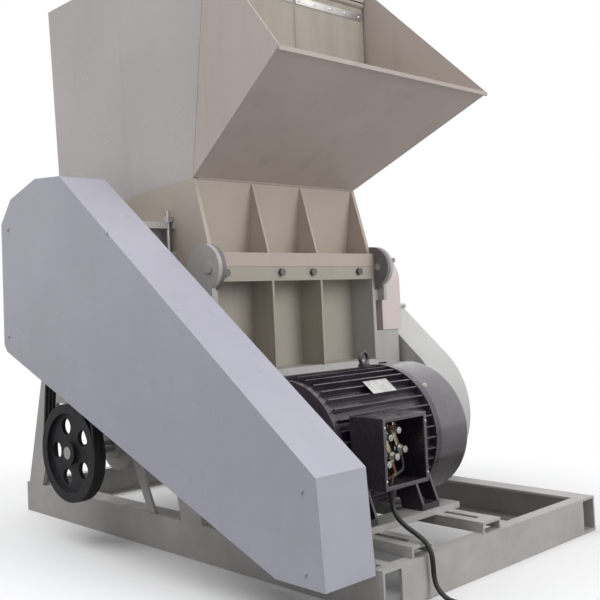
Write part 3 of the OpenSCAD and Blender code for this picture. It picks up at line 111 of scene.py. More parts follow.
def add_lathe(bm, profile, matrix, steps=32):
    """Turns (radius, height) points round the matrix's Z axis."""
    rings = []
    for r, h in profile:
        if r < 1e-6:
            rings.append([bm.verts.new(matrix @ Vector((0, 0, h)))])
            continue
        rings.append([bm.verts.new(matrix @ Vector((r * math.cos(a), r * math.sin(a), h)))
                      for a in (2 * math.pi * k / steps for k in range(steps))])
    for low, high in zip(rings, rings[1:]):
        for k in range(steps):
            n = (k + 1) % steps
            corners = [low[k % len(low)], low[n % len(low)], high[n % len(high)], high[k % len(high)]]
            unique = list(dict.fromkeys(corners))
            if len(unique) > 2:
                bm.faces.new(unique)


def add_bolt(bm, at, axis, r, h=None, turn=0.3):
    """A washer with a chamfered hexagon head."""
    h = h or r * 0.75
    matrix = place(at, axis, turn)
    washer_r, washer_h, head_h = r * 1.35, h * 0.3, h * 1.25
    washer = [(0, 0), (washer_r, 0), (washer_r, h * 0.22), (r * 1.28, washer_h), (0, washer_h)]
    head = [(0, washer_h), (r, washer_h), (r, h * 1.05), (r * 0.88, head_h), (0, head_h)]
    add_lathe(bm, washer, matrix, 24)
    add_lathe(bm, head, matrix, 6)


def add_rod(bm, a, b, r, steps=16):
    a, b = Vector(a), Vector(b)
    length = (b - a).length
    add_lathe(bm, [(0, 0), (r, 0), (r, length), (0, length)], place(a, b - a), steps)


def add_tube(bm, points, r, steps=10):
    """A round tube through the points, with closed ends."""
    points = [Vector(p) for p in points]
    last = len(points) - 1
    ways = [(points[min(i + 1, last)] - points[max(i - 1, 0)]).normalized() for i in range(last + 1)]
    side = ways[0].orthogonal().normalized()
    rings = []
    for p, way in zip(points, ways):
        side = (side - way * side.dot(way)).normalized()
        other = way.cross(side)
        rings.append([bm.verts.new(p + r * (side * math.cos(a) + other * math.sin(a)))
                      for a in (2 * math.pi * k / steps for k in range(steps))])
    for low, high in zip(rings, rings[1:]):
        for k in range(steps):
            n = (k + 1) % steps
            bm.faces.new([low[k], low[n], high[n], high[k]])
    bm.faces.new(rings[0])
    bm.faces.new(rings[-1])


def add_slab(bm, size, matrix, bevel=0.0):
    """A box of that size, centred on the matrix, with rounded edges."""
    made = bmesh.ops.create_cube(bm, size=1, matrix=matrix @ Matrix.Diagonal((*size, 1)))
    if bevel:
        edges = list({e for v in made["verts"] for e in v.link_edges})
        bmesh.ops.bevel(bm, geom=edges, offset=bevel, segments=3, profile=0.5, affect="EDGES")


def spline(points, steps):
    """Points on a Catmull-Rom curve."""
    points = [Vector(p) for p in points]
    out = []
    for i in range(len(points) - 1):
        p1, p2 = points[i], points[i + 1]
        p0 = points[i - 1] if i else 2 * p1 - p2
        p3 = points[i + 2] if i + 2 < len(points) else 2 * p2 - p1
        for k in range(steps):
            t = k / steps
            out.append(0.5 * (2 * p1 + (p2 - p0) * t + (2 * p0 - 5 * p1 + 4 * p2 - p3) * t ** 2
                              + (3 * p1 - p0 - 3 * p2 + p3) * t ** 3))
    return out + [points[-1]]


# Materials

def linear(r, g, b):
    """A colour of 0 to 255 per channel as the shader's linear values."""
    shares = (r / 255, g / 255, b / 255)
    return tuple((c / 12.92 if c <= 0.04045 else ((c + 0.055) / 1.055) ** 2.4) for c in shares)


class Look:
    """Builds one node material."""

    def __init__(self, name):
        self.material = bpy.data.materials.new(name)
        self.material.use_nodes = True
        self.tree = self.material.node_tree
        self.tree.nodes.clear()
        self.shader = self.node("ShaderNodeBsdfPrincipled")
        output = self.node("ShaderNodeOutputMaterial")
        self.tree.links.new(self.shader.outputs[0], output.inputs[0])
        self.place = self.node("ShaderNodeTexCoord").outputs["Object"]
        self.geometry = self.node("ShaderNodeNewGeometry")

    def node(self, kind, **settings):
        made = self.tree.nodes.new(kind)
        for key, value in settings.items():
            setattr(made, key, value)
        return made

    def feed(self, socket, value):
        if isinstance(value, bpy.types.NodeSocket):
            self.tree.links.new(value, socket)
        elif isinstance(value, (tuple, list)) and len(value) == 3 and socket.type == "RGBA":
            socket.default_value = (*value, 1)
        else:
            socket.default_value = value

    def stretched(self, scale, turn=(0, 0, 0)):
        made = self.node("ShaderNodeMapping")
        self.feed(made.inputs["Vector"], self.place)
        self.feed(made.inputs["Scale"], scale)
        self.feed(made.inputs["Rotation"], turn)
        return made.outputs[0]

    def noise(self, scale, detail=4.0, rough=0.55, at=None, distort=0.0):
        made = self.node("ShaderNodeTexNoise")
        self.feed(made.inputs["Vector"], at or self.place)
        self.feed(made.inputs["Scale"], scale)
        self.feed(made.inputs["Detail"], detail)
        self.feed(made.inputs["Roughness"], rough)
        self.feed(made.inputs["Distortion"], distort)
        return made.outputs["Fac"]

    def wave(self, scale, at=None, direction="X", distort=0.0):
        made = self.node("ShaderNodeTexWave", bands_direction=direction)
        self.feed(made.inputs["Vector"], at or self.place)
        self.feed(made.inputs["Scale"], scale)
        self.feed(made.inputs["Distortion"], distort)
        return made.outputs["Fac"]

    def step(self, value, low, high, out_low=0.0, out_high=1.0):
        made = self.node("ShaderNodeMapRange")
        made.interpolation_type = "SMOOTHSTEP"
        for key, number in (("From Min", low), ("From Max", high), ("To Min", out_low), ("To Max", out_high)):
            made.inputs[key].default_value = number
        self.feed(made.inputs["Value"], value)
        return made.outputs["Result"]

    def math(self, operation, a, b=0.0):
        made = self.node("ShaderNodeMath", operation=operation)
        self.feed(made.inputs[0], a)
        self.feed(made.inputs[1], b)
        return made.outputs[0]

    def mix(self, share, a, b):
        made = self.node("ShaderNodeMix", data_type="RGBA")
        self.feed(made.inputs[0], share)
        self.feed(made.inputs[6], a)
        self.feed(made.inputs[7], b)
        return made.outputs[2]

    def part(self, vector, axis):
        made = self.node("ShaderNodeSeparateXYZ")
        self.feed(made.inputs[0], vector)
        return made.outputs[axis]

    def edges(self, radius):
        """High where the surface turns a corner."""
        soft = self.node("ShaderNodeBevel", samples=4)
        soft.inputs["Radius"].default_value = radius
        dot = self.node("ShaderNodeVectorMath", operation="DOT_PRODUCT")
        self.feed(dot.inputs[0], soft.outputs[0])
        self.feed(dot.inputs[1], self.geometry.outputs["Normal"])
        return self.step(dot.outputs["Value"], 0.995, 0.90)

    def bump(self, height, distance, strength=1.0, under=None):
        made = self.node("ShaderNodeBump")
        self.feed(made.inputs["Height"], height)
        made.inputs["Distance"].default_value = distance
        made.inputs["Strength"].default_value = strength
        if under:
            self.feed(made.inputs["Normal"], under)
        return made.outputs[0]

    def rounded(self, radius):
        made = self.node("ShaderNodeBevel", samples=4)
        made.inputs["Radius"].default_value = radius
        return made.outputs[0]

    def finish(self, **values):
        for key, value in values.items():
            self.feed(self.shader.inputs[key.replace("_", " ")], value)
        return self.material


DUST = (0.58, 0.55, 0.50)
BARE_METAL = (0.30, 0.29, 0.28)


def paint_look(name, base, dirt_and_shade, rough, dust_share=0.35, grime_and_low_shade=0.5, edge_share=0.5, coat=0.0):
    """Sprayed machine paint: orange peel, cloudy tone, worn edges, settled dust, grime streaks, and painted
    shade in blots that darkens it towards the bottom.
    """
    look = Look(name)
    cloud = look.noise(1.7, 5, 0.6)
    color = look.mix(look.step(cloud, 0.2, 0.8), base, tuple(c * 0.88 for c in base))
    streak = look.noise(9, 4, 0.6, look.stretched((1, 1, 0.12)))
    color = look.mix(look.math("MULTIPLY", look.step(streak, 0.52, 0.78), grime_and_low_shade * 0.45), color, dirt_and_shade)
    height = look.part(look.place, 2)
    # Painted shade, in blots: the paint darkens towards the bottom, in the dirt tone.
    low = look.step(height, 0.9, 0.0)
    blot = look.step(look.noise(6, 6, 0.65, distort=0.4), 0.3, 0.8)
    color = look.mix(look.math("MULTIPLY", look.math("MULTIPLY", low, blot), grime_and_low_shade), color, dirt_and_shade)
    upward = look.step(look.part(look.geometry.outputs["Normal"], 2), 0.55, 1.0)
    dust = look.math("MULTIPLY", upward, look.step(look.noise(14, 5, 0.6), 0.25, 0.8))
    color = look.mix(look.math("MULTIPLY", dust, dust_share), color, DUST)
    chip = look.step(look.noise(90, 3, 0.7), 0.50, 0.60)
    worn = look.math("MULTIPLY", look.edges(0.006), look.math("MULTIPLY", chip, edge_share))
    color = look.mix(worn, color, BARE_METAL)
    gloss = look.step(look.noise(3.2, 4, 0.6), 0.3, 0.75, rough - 0.06, rough + 0.10)
    gloss = look.math("ADD", gloss, look.math("MULTIPLY", dust, 0.25))
    peel = look.bump(look.noise(260, 2, 0.5), 0.0006, 0.35, look.rounded(0.0025))
    sag = look.bump(look.noise(5, 2, 0.5), 0.004, 0.25, peel)
    return look.finish(Base_Color=color, Roughness=gloss, Normal=sag, Coat_Weight=coat, Coat_Roughness=0.25,
                       Specular_IOR_Level=0.45)


def steel_look(name, base, rough, scale=1.0, rust=0.15):
    """Turned or ground steel: fine lines, oil stains and a little rust."""
    look = Look(name)
    lines = look.noise(420 * scale, 3, 0.6, look.stretched((1, 0.04, 1)))
    stain = look.step(look.noise(11 * scale, 6, 0.62, distort=0.5), 0.42, 0.72)
    color = look.mix(look.math("MULTIPLY", stain, 0.5), base, tuple(c * 0.55 for c in base))
    spot = look.step(look.noise(55 * scale, 5, 0.7), 0.62, 0.74)
    color = look.mix(look.math("MULTIPLY", spot, rust), color, (0.16, 0.07, 0.03))
    gloss = look.step(lines, 0.3, 0.7, rough - 0.08, rough + 0.12)
    relief = look.bump(lines, 0.0004, 0.3, look.rounded(0.0015))
    return look.finish(Base_Color=color, Roughness=gloss, Metallic=0.9, Normal=relief)


def iron_look():
    """Dark cast iron with a sandy skin, and a painted highlight lightening its rims."""
    look = Look("cast_iron_dark_look")
    grain = look.noise(190, 4, 0.7)
    cloud = look.step(look.noise(12, 5, 0.6), 0.35, 0.7)
    color = look.mix(cloud, linear(34, 36, 41), linear(20, 21, 24))
    # Painted highlight: lighter patches along the rims and edges.
    lighter_edge = look.math("MULTIPLY", look.edges(0.004), look.step(look.noise(30, 4, 0.6), 0.35, 0.55))
    color = look.mix(look.math("MULTIPLY", lighter_edge, 0.8), color, linear(88, 86, 84))
    rust = look.step(look.noise(40, 5, 0.7), 0.6, 0.74)
    color = look.mix(look.math("MULTIPLY", rust, 0.35), color, (0.13, 0.055, 0.025))
    gloss = look.step(grain, 0.3, 0.7, 0.42, 0.62)
    relief = look.bump(grain, 0.0012, 0.5, look.rounded(0.002))
    return look.finish(Base_Color=color, Roughness=gloss, Metallic=0.35, Normal=relief)


def motor_look(name, base, shine, rough=0.3, grain=120, depth=0.0012, dust_share=0.3, low_shade=0.2):
    """Glossy enamel over a rough casting, with painted shade darkening it towards the bottom."""
    look = Look(name)
    cast = look.noise(grain, 3, 0.6)
    cloud = look.step(look.noise(8, 4, 0.6), 0.35, 0.7)
    color = look.mix(cloud, base, shine)
    # Painted shade: darker towards the bottom.
    low = look.step(look.part(look.place, 2), 0.62, 0.22)
    color = look.mix(look.math("MULTIPLY", low, low_shade), color, linear(30, 27, 30))
    lighter_edge = look.math("MULTIPLY", look.edges(0.004), look.step(look.noise(60, 4, 0.65), 0.45, 0.62))
    color = look.mix(look.math("MULTIPLY", lighter_edge, 0.45), color, linear(120, 112, 118))
    upward = look.step(look.part(look.geometry.outputs["Normal"], 2), 0.5, 1.0)
    dust = look.math("MULTIPLY", upward, look.step(look.noise(22, 5, 0.65), 0.35, 0.7))
    color = look.mix(look.math("MULTIPLY", dust, dust_share), color, (0.33, 0.31, 0.30))
    gloss = look.step(cast, 0.3, 0.7, rough - 0.05, rough + 0.12)
    relief = look.bump(cast, depth, 0.3, look.rounded(0.002))
    return look.finish(Base_Color=color, Roughness=gloss, Normal=relief, Coat_Weight=0.5, Coat_Roughness=0.15)


def rubber_look(name, base, rough=0.62, cloth=True):
    """Moulded rubber with a faint weave and chalky bloom."""
    look = Look(name)
    bloom = look.step(look.noise(18, 5, 0.65), 0.4, 0.75)
    color = look.mix(look.math("MULTIPLY", bloom, 0.5), base, tuple(c * 2.2 + 0.01 for c in base))
    weave = look.math("MULTIPLY", look.wave(220, direction="Y"), look.wave(220, direction="Z"))
    grain = look.noise(350, 3, 0.6)
    height = look.math("ADD", look.math("MULTIPLY", weave, 0.6 if cloth else 0.1), grain)
    relief = look.bump(height, 0.0006, 0.4, look.rounded(0.001))
    gloss = look.step(grain, 0.3, 0.7, rough - 0.08, rough + 0.10)
    return look.finish(Base_Color=color, Roughness=gloss, Normal=relief)


def curtain_look():
    """Heavy cream rubber sheet, scuffed in vertical streaks."""
    look = Look("curtain_look")
    streak = look.step(look.noise(14, 4, 0.6, look.stretched((1, 1, 0.1))), 0.3, 0.8)
    color = look.mix(look.math("MULTIPLY", streak, 0.35), linear(176, 168, 156), linear(146, 137, 122))
    spot = look.step(look.noise(40, 5, 0.7), 0.6, 0.75)
    color = look.mix(look.math("MULTIPLY", spot, 0.25), color, linear(112, 102, 88))
    low = look.step(look.part(look.place, 2), 1.80, 1.56)
    color = look.mix(look.math("MULTIPLY", low, 0.35), color, linear(110, 100, 84))
    scratch = look.step(look.noise(300, 2, 0.5, look.stretched((1, 1, 0.02))), 0.56, 0.62)
    height = look.math("ADD", look.noise(6, 2, 0.5), look.math("MULTIPLY", scratch, -0.12))
    relief = look.bump(height, 0.006, 0.4)
    gloss = look.step(streak, 0.2, 0.8, 0.42, 0.6)
    return look.finish(Base_Color=color, Roughness=gloss, Normal=relief, Subsurface_Weight=0.04)


def plastic_look(name, base, rough=0.4):
    """Moulded plastic with a fine spark-eroded grain."""
    look = Look(name)
    cloud = look.step(look.noise(30, 4, 0.6), 0.35, 0.7)
    color = look.mix(look.math("MULTIPLY", cloud, 0.35), base, tuple(c * 0.7 for c in base))
    grain = look.noise(700, 2, 0.6)
    gloss = look.step(grain, 0.3, 0.7, rough - 0.05, rough + 0.1)
    relief = look.bump(grain, 0.0003, 0.3, look.rounded(0.0008))
    return look.finish(Base_Color=color, Roughness=gloss, Normal=relief)


GREY = linear(190, 188, 186)
DIRT_AND_SHADE = linear(118, 108, 94)
paint = paint_look("machine_paint_look", GREY, DIRT_AND_SHADE, 0.40, 0.30, 0.30, 0.35, 0.10)
guard_paint = paint_look("guard_paint_look", linear(184, 184, 197), DIRT_AND_SHADE, 0.30, 0.12, 0.12, 0.25, 0.20)
# A lighter copy of the machine paint: painted light lifting the hopper's shaded left-facing sides.
hopper_paint = paint_look("hopper_paint_look", linear(200, 194, 192), DIRT_AND_SHADE, 0.30, 0.15, 0.22, 0.25, 0.20)
# A lighter, warmer copy of the chamber paint: painted light on the panels under the chute, standing in for
# the floor's bounce.
upper_paint = paint_look("upper_paint_look", linear(200, 188, 176), DIRT_AND_SHADE, 0.42, 0.25, 0.35, 0.35)
cover_paint = paint_look("cover_paint_look", linear(228, 215, 212), DIRT_AND_SHADE, 0.40, 0.20, 0.25, 0.30, 0.10)
casing_paint = paint_look("casing_paint_look", linear(206, 206, 203), DIRT_AND_SHADE, 0.40, 0.20, 0.25, 0.30, 0.10)
ear_paint = paint_look("ear_paint_look", linear(128, 126, 130), linear(60, 56, 52), 0.38, 0.25, 0.6, 0.7)
dark_steel = steel_look("dark_steel_look", (0.16, 0.155, 0.15), 0.42, 1.5, 0.15)
chamber_paint = paint_look("chamber_paint_look", linear(184, 176, 164), linear(104, 96, 78),
                           0.46, 0.4, 0.5, 0.5)
chute_paint = paint_look("chute_paint_look", linear(198, 186, 178), linear(118, 104, 90),
                         0.42, 0.3, 0.4, 0.4)
motor_paint = motor_look("motor_paint_look", linear(42, 38, 46), linear(60, 52, 64), dust_share=0.45)
# The cowl's grey tone, darkened almost to black towards the bottom, is painted reflection on a black glossy
# cowl.
cowl_painted_reflection = motor_look("cowl_painted_reflection_look", linear(112, 108, 113), linear(98, 95, 101),
                        0.22, 14, 0.0015, 0.12, 0.95)
steel = steel_look("machined_steel_look", (0.46, 0.45, 0.44), 0.36)
knife_steel = steel_look("knife_steel_look", (0.58, 0.57, 0.56), 0.24, 1.6, 0.05)
screen_steel = steel_look("screen_steel_look", (0.34, 0.33, 0.32), 0.44, 1.2, 0.25)
bright_steel = steel_look("bright_steel_look", (0.62, 0.62, 0.60), 0.28, 2.0, 0.05)
iron = iron_look()
belt_rubber = rubber_look("belt_rubber_look", linear(34, 33, 33), 0.66)
jacket = rubber_look("cable_jacket_look", linear(26, 26, 28), 0.44, False)
curtain_sheet = curtain_look()
plug_plastic = plastic_look("plug_plastic_look", linear(44, 44, 48))
plate_metal = steel_look("blank_plate_look", (0.66, 0.66, 0.64), 0.30, 3.0, 0.03)
box_paint = motor_look("box_paint_look", linear(34, 29, 36), linear(46, 40, 50), 0.24, 30, 0.0008, 0.2)
rim_paint = motor_look("rim_paint_look", linear(84, 76, 84), linear(70, 63, 70), 0.24, 60, 0.0006, 0.2)
wire_dark = plastic_look("wire_dark_look", linear(30, 28, 30), 0.42)
wire_warm = plastic_look("wire_warm_look", linear(120, 84, 62), 0.42)
brass = steel_look("stud_brass_look", (0.62, 0.50, 0.34), 0.26, 3.0, 0.03)

SLOT_LOOKS = {
    "machine_paint": paint, "chamber_paint": chamber_paint, "motor_paint": motor_paint,
    "machined_steel": steel, "cast_iron_dark": iron, "rubber_black": belt_rubber,
    "curtain_sheet": curtain_sheet, "cable_jacket": jacket, "plug_plastic": plug_plastic,
}
NODE_LOOKS = {
    "belt_guard": guard_paint, "feed_chute": chute_paint, "fan_cowl": cowl_painted_reflection, "rotor_knives": knife_steel,
    "bed_knives": knife_steel, "screen": screen_steel, "terminal_box": box_paint, "hopper_left": hopper_paint,
    "hopper_right": hopper_paint, "hopper_back": hopper_paint, "hopper_header": hopper_paint,
    "upper_front": upper_paint, "upper_ends": upper_paint, "upper_ears": ear_paint,
    "flange_bolts": dark_steel, "right_cover": cover_paint, "blower_housing": casing_paint,
}


def dress_nodes():
    slots = {s["node"]: s["material_slot"] for s in frame["record"]["subparts"]}
    for name, node in frame["nodes"].items():
        look = NODE_LOOKS.get(name) or SLOT_LOOKS[slots[name]]
        if not node.data.materials:
            node.data.materials.append(look)
        for i in range(len(node.material_slots)):
            node.material_slots[i].material = look


dress_nodes()


# Supply cable: out of the gland, down to the floor, and its spare length in a coil in front of the machine

CABLE_R = 0.008
ROUTE = [
    (-0.455, -0.95, 0.3), (-0.455, -0.95, 0.29), (-0.4548, -0.9548, 0.2626), (-0.454, -0.9687, 0.2386),
    (-0.453, -0.9924, 0.2194), (-0.451, -1.022, 0.2036), (-0.449, -1.05, 0.1888), (-0.447, -1.0696, 0.1729),
    (-0.445, -1.081, 0.1531), (-0.443, -1.085, 0.1305), (-0.44, -1.085, 0.102), (-0.438, -1.085, 0.074),
    (-0.4365, -1.09, 0.0487), (-0.435, -1.1043, 0.0273), (-0.434, -1.1257, 0.013), (-0.433, -1.151, 0.008),
    (-0.434, -1.205, 0.008), (-0.446, -1.268, 0.008), (-0.465, -1.33, 0.008), (-0.48, -1.384, 0.008),
    (-0.48, -1.4, 0.008),
]


def coil_points():
    turns, rings, pitch, climb = 3.5, 24, 0.0184, 0.5
    outer, inner = 0.1282, 0.0638
    center = Vector((ROUTE[-1][0] - outer, ROUTE[-1][1] - 2 * CABLE_R, 0))
    points = []
    for k in range(int(rings * (2 * turns + climb)) + 1):
        s = k / rings
        if s < turns:
            radius = outer - pitch * s
        elif s < turns + climb:
            radius = inner
        else:
            radius = inner + pitch * (s - turns - climb)
        height = CABLE_R + pitch * min(max((s - turns) / climb, 0), 1)
        a = 2 * math.pi * s
        points.append(center + Vector((radius * math.cos(a), -radius * math.sin(a), height)))
    way = (points[-1] - points[-2]).normalized()
    return points + [points[-1] + 2 * CABLE_R * way]


def make_cord():
    points = spline(ROUTE, 6) + coil_points()
    data = bpy.data.curves.new("supply_cord", "CURVE")
    data.dimensions = "3D"
    data.bevel_depth = CABLE_R
    data.bevel_resolution = 5
    data.use_fill_caps = True
    line = data.splines.new("POLY")
    line.points.add(len(points) - 1)
    for spot, point in zip(line.points, points):
        spot.co = (*point, 1)
    line.use_smooth = True
    cord = link("supply_cord", data)
    data.materials.append(jacket)
    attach(cord, "machine")
    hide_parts("supply_cable", "cable_coil")


make_cord()


# Floor, backdrop and light

FLOOR_HALF = 40
WHITE_FROM, WHITE_FULL = 1.3, 2.6


def make_floor():
    """A floor that takes the shadow near the machine and turns white further out."""
    bm = bmesh.new()
    bmesh.ops.create_grid(bm, x_segments=1, y_segments=1, size=FLOOR_HALF)
    mesh = bpy.data.meshes.new("floor")
    bm.to_mesh(mesh)
    bm.free()
    floor = link("floor", mesh)
    floor.location.z = -0.0005
    look = Look("floor_look")
    tree, links = look.tree, look.tree.links
    output = next(n for n in tree.nodes if n.type == "OUTPUT_MATERIAL")
    rays = look.node("ShaderNodeLightPath")
    tone = look.mix(rays.outputs["Is Camera Ray"], (0.42, 0.41, 0.40), (0.93, 0.93, 0.93))
    look.finish(Base_Color=tone, Roughness=0.75, Specular_IOR_Level=0.2)
    white = look.node("ShaderNodeEmission")
    white.inputs["Color"].default_value = (1, 1, 1, 1)
    distance = look.node("ShaderNodeVectorMath", operation="LENGTH")
    links.new(look.place, distance.inputs[0])
    far = look.step(distance.outputs["Value"], WHITE_FROM, WHITE_FULL)
    seen = look.math("MULTIPLY", far, rays.outputs["Is Camera Ray"])
    lit = look.node("ShaderNodeMixShader")
    links.new(seen, lit.inputs[0])
    links.new(look.shader.outputs[0], lit.inputs[1])
    links.new(white.outputs[0], lit.inputs[2])
    links.new(lit.outputs[0], output.inputs[0])
    mesh.materials.append(look.material)


def make_world():
    world = bpy.data.worlds.new("studio")
    world.use_nodes = True
    scene.world = world
    tree = world.node_tree
    tree.nodes.clear()
    light = tree.nodes.new("ShaderNodeBackground")
    light.inputs["Color"].default_value = (0.96, 0.97, 1.0, 1)
    light.inputs["Strength"].default_value = 0.48
    white = tree.nodes.new("ShaderNodeBackground")
    white.inputs["Color"].default_value = (1, 1, 1, 1)
    white.inputs["Strength"].default_value = 1.0
    rays = tree.nodes.new("ShaderNodeLightPath")
    shown = rays.outputs["Is Camera Ray"]
    for kind in ("Is Glossy Ray", "Is Transmission Ray"):
        most = tree.nodes.new("ShaderNodeMath")
        most.operation = "MAXIMUM"
        tree.links.new(shown, most.inputs[0])
        tree.links.new(rays.outputs[kind], most.inputs[1])
        shown = most.outputs[0]
    mix = tree.nodes.new("ShaderNodeMixShader")
    output = tree.nodes.new("ShaderNodeOutputWorld")
    tree.links.new(shown, mix.inputs[0])
    tree.links.new(light.outputs[0], mix.inputs[1])
    tree.links.new(white.outputs[0], mix.inputs[2])
    tree.links.new(mix.outputs[0], output.inputs[0])


def make_sun(name, toward, strength, angle):
    data = bpy.data.lights.new(name, "SUN")
    data.energy = strength
    data.angle = math.radians(angle)
    lamp = bpy.data.objects.new(name, data)
    lamp.rotation_mode = "QUATERNION"
    lamp.rotation_quaternion = Vector(toward).to_track_quat("Z", "Y")
    scene.collection.objects.link(lamp)


def make_lights():
    make_world()
    make_sun("key", (0.30, -0.90, 0.42), 1.20, 40)
    make_sun("top", (-0.25, 0.15, 1.0), 1.75, 55)


make_floor()
make_lights()
scene.view_settings.view_transform = "Standard"


# Fasteners and fittings

CHAMBER_FRONT_Y = -0.0225
FLANGE_BAR_Z = 1.160
RIB_FOOT_Y = -0.0405
CHUTE_FOLD = (-0.0675, 1.4665)
WELD_REACH_X = 0.478
RIB_PLACES_X = (-0.175, 0.125)
MOTOR_AXIS = Vector((0, -0.611, 0.442))
BLOWER_AXIS = Vector((0, 0.003, 0.398))
CURTAIN_BAR_Y = -0.1822
CURTAIN_BAR_Z = 2.268


def guard_screws():
    """Painted screws along the guard's outer edge, placed by shares of its depth and height."""
    low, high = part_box("belt_guard")
    bm = bmesh.new()
    depth, height = high.y - low.y, high.z - low.z
    shares = [(0.04, 0.03), (0.04, 0.20), (0.55, 0.80), (0.965, 0.86), (0.975, 0.52)]
    for across, up in shares:
        add_bolt(bm, (low.x, low.y + across * depth, low.z + up * height), (-1, 0, 0), 0.006)
    mesh_piece("guard_screws", bm, guard_paint, "machine")


def cover_screws():
    """Hexagon screws through the bearing cover."""
    bm = bmesh.new()
    low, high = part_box("right_cover")
    for y in (low.y + 0.03, high.y - 0.03):
        for z in (low.z + 0.04, high.z - 0.04):
            add_bolt(bm, (high.x, y, z), (1, 0, 0), 0.009)
    mesh_piece("cover_screws", bm, bright_steel, "machine")


def motor_details():
    """A blank rating plate with rivets, and the cowl's screws."""
    slope = math.radians(50)
    out_r, plate_x = 0.256, -0.27
    plate = (0.13, 0.062, 0.003)
    bm = bmesh.new()
    way = Vector((0, -math.cos(slope), math.sin(slope)))
    along = Vector((1, 0, 0))
    turn = Matrix((along, way.cross(along), way)).transposed().to_4x4()
    base = Matrix.Translation(MOTOR_AXIS + Vector((plate_x, 0, 0)) + way * out_r) @ turn
    add_slab(bm, plate, base, 0.0012)
    for x in (-0.056, 0.056):
        for y in (-0.022, 0.022):
            rivet = [(0.0035, 0), (0.0032, 0.0016), (0.0018, 0.0026), (0, 0.003)]
            add_lathe(bm, rivet, base @ Matrix.Translation((x, y, 0.001)), 12)
    mesh_piece("blank_rating_plate", bm, plate_metal, "machine")

    bm = bmesh.new()
    low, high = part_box("fan_cowl")
    center = (low + high) / 2
    r = (high.z - low.z) / 2
    for k in range(4):
        a = math.radians(45 + 90 * k)
        way = Vector((0, math.cos(a), math.sin(a)))
        add_bolt(bm, Vector((low.x + 0.016, center.y, center.z)) + way * (r - 0.0015), way, 0.007)
    mesh_piece("cowl_screws", bm, bright_steel, "machine")


BOARD_TILT = math.radians(-24)
STUD_PITCH_X, STUD_PITCH_Z = 0.048, 0.036


def terminal_rim(low, high, mid_x, mid_z):
    rim = bmesh.new()
    lip, depth, soft = 0.013, 0.005, 0.0015
    y = low.y + 0.0015
    for side in (-1, 1):
        upright = (mid_x + side * ((high.x - low.x) / 2 - lip / 2), y, mid_z)
        add_slab(rim, (lip, depth, high.z - low.z), Matrix.Translation(upright), soft)
        level = (mid_x, y, mid_z + side * ((high.z - low.z) / 2 - lip / 2))
        add_slab(rim, (high.x - low.x - 2 * lip, depth, lip), Matrix.Translation(level), soft)
    mesh_piece("terminal_rim", rim, rim_paint, "machine")


def terminal_details():
    """A rolled rim, and the studs, nuts, links and cable cores inside the open terminal box."""
    low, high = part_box("terminal_box")
    mid_x, mid_z = (low.x + high.x) / 2, (low.z + high.z) / 2
    terminal_rim(low, high, mid_x, mid_z)

    nuts, dark, warm, bars = bmesh.new(), bmesh.new(), bmesh.new(), bmesh.new()
    face_y = low.y + 0.052
    lug_y, tag_y = face_y + 0.0095, face_y + 0.006
    root_y = high.y - 0.10
    tilt = Matrix.Translation((mid_x - 0.012, 0, mid_z + 0.008)) @ Matrix.Rotation(BOARD_TILT, 4, "Y")
    nut = [(0, 0), (0.0125, 0), (0.0125, 0.008), (0.0108, 0.0095), (0, 0.0095)]
    washer = [(0, 0), (0.0150, 0), (0.0150, 0.002), (0, 0.002)]
    for row in (1, -1):
        for column in (-1, 0, 1):
            spot = tilt @ Vector((STUD_PITCH_X * column, 0, STUD_PITCH_Z * row))
            x, z = spot.x, spot.z
            add_rod(nuts, (x, root_y, z), (x, face_y - 0.016, z), 0.0052)
            for depth, turn in ((-0.006, 0.2), (0.005, 0.7), (0.030, 0.4)):
                add_lathe(nuts, nut, place((x, face_y + depth, z), (0, -1, 0), turn + column), 6)
            add_lathe(nuts, washer, place((x, face_y + 0.0075, z), (0, -1, 0)), 20)
            lug = spot + Vector((0.004 * column, 0, -0.022 if row < 0 else 0.022))
            bar_at = Matrix.Translation((lug.x, lug_y, (lug.z + z) / 2))
            add_slab(bars, (0.019, 0.0028, 0.030), bar_at, 0.001)
            bm = warm if (column + row) % 2 else dark
            if row < 0:
                entry = Vector((-0.455 + 0.008 * column, -0.950, low.z + 0.004))
                middle = entry.lerp(Vector((lug.x, tag_y, lug.z)), 0.5)
                middle += Vector((0.010 * column, -0.012, 0))
                rise = entry + Vector((0, -0.004, 0.024))
                core = [entry, rise, middle, (lug.x, tag_y, lug.z - 0.014), (lug.x, lug_y, lug.z)]
                add_tube(bm, spline(core, 6), 0.0055)
            else:
                core = [(lug.x, lug_y, lug.z), (lug.x + 0.004, face_y + 0.004, lug.z + 0.016),
                        (lug.x * 0.7 + mid_x * 0.3, face_y + 0.024, high.z - 0.030),
                        (mid_x + 0.022 * column, root_y + 0.006, high.z - 0.052)]
                add_tube(bm, spline(core, 6), 0.0048)
    for column in (-1, 0, 1):
        top, bottom = (tilt @ Vector((STUD_PITCH_X * column, 0, STUD_PITCH_Z * row)) for row in (1, -1))
        middle = (top + bottom) / 2
        link_at = Matrix.Translation((middle.x, face_y + 0.0125, middle.z))
        add_slab(bars, (0.018, 0.003, 0.094), link_at @ Matrix.Rotation(BOARD_TILT, 4, "Y"), 0.001)
    mesh_piece("terminal_nuts", nuts, bright_steel, "machine")
    mesh_piece("terminal_links", bars, brass, "machine")
    mesh_piece("terminal_cores_dark", dark, wire_dark, "machine")
    mesh_piece("terminal_cores_warm", warm, wire_warm, "machine")

    screws = bmesh.new()
    screw = [(0, 0), (0.0045, 0), (0.0045, 0.0015), (0.003, 0.003), (0, 0.003)]
    for x in (low.x + 0.0065, high.x - 0.0065):
        for z in (low.z + 0.03, high.z - 0.03):
            add_lathe(screws, screw, place((x, low.y - 0.001, z), (0, -1, 0)), 16)
    mesh_piece("terminal_rim_screws", screws, bright_steel, "machine")


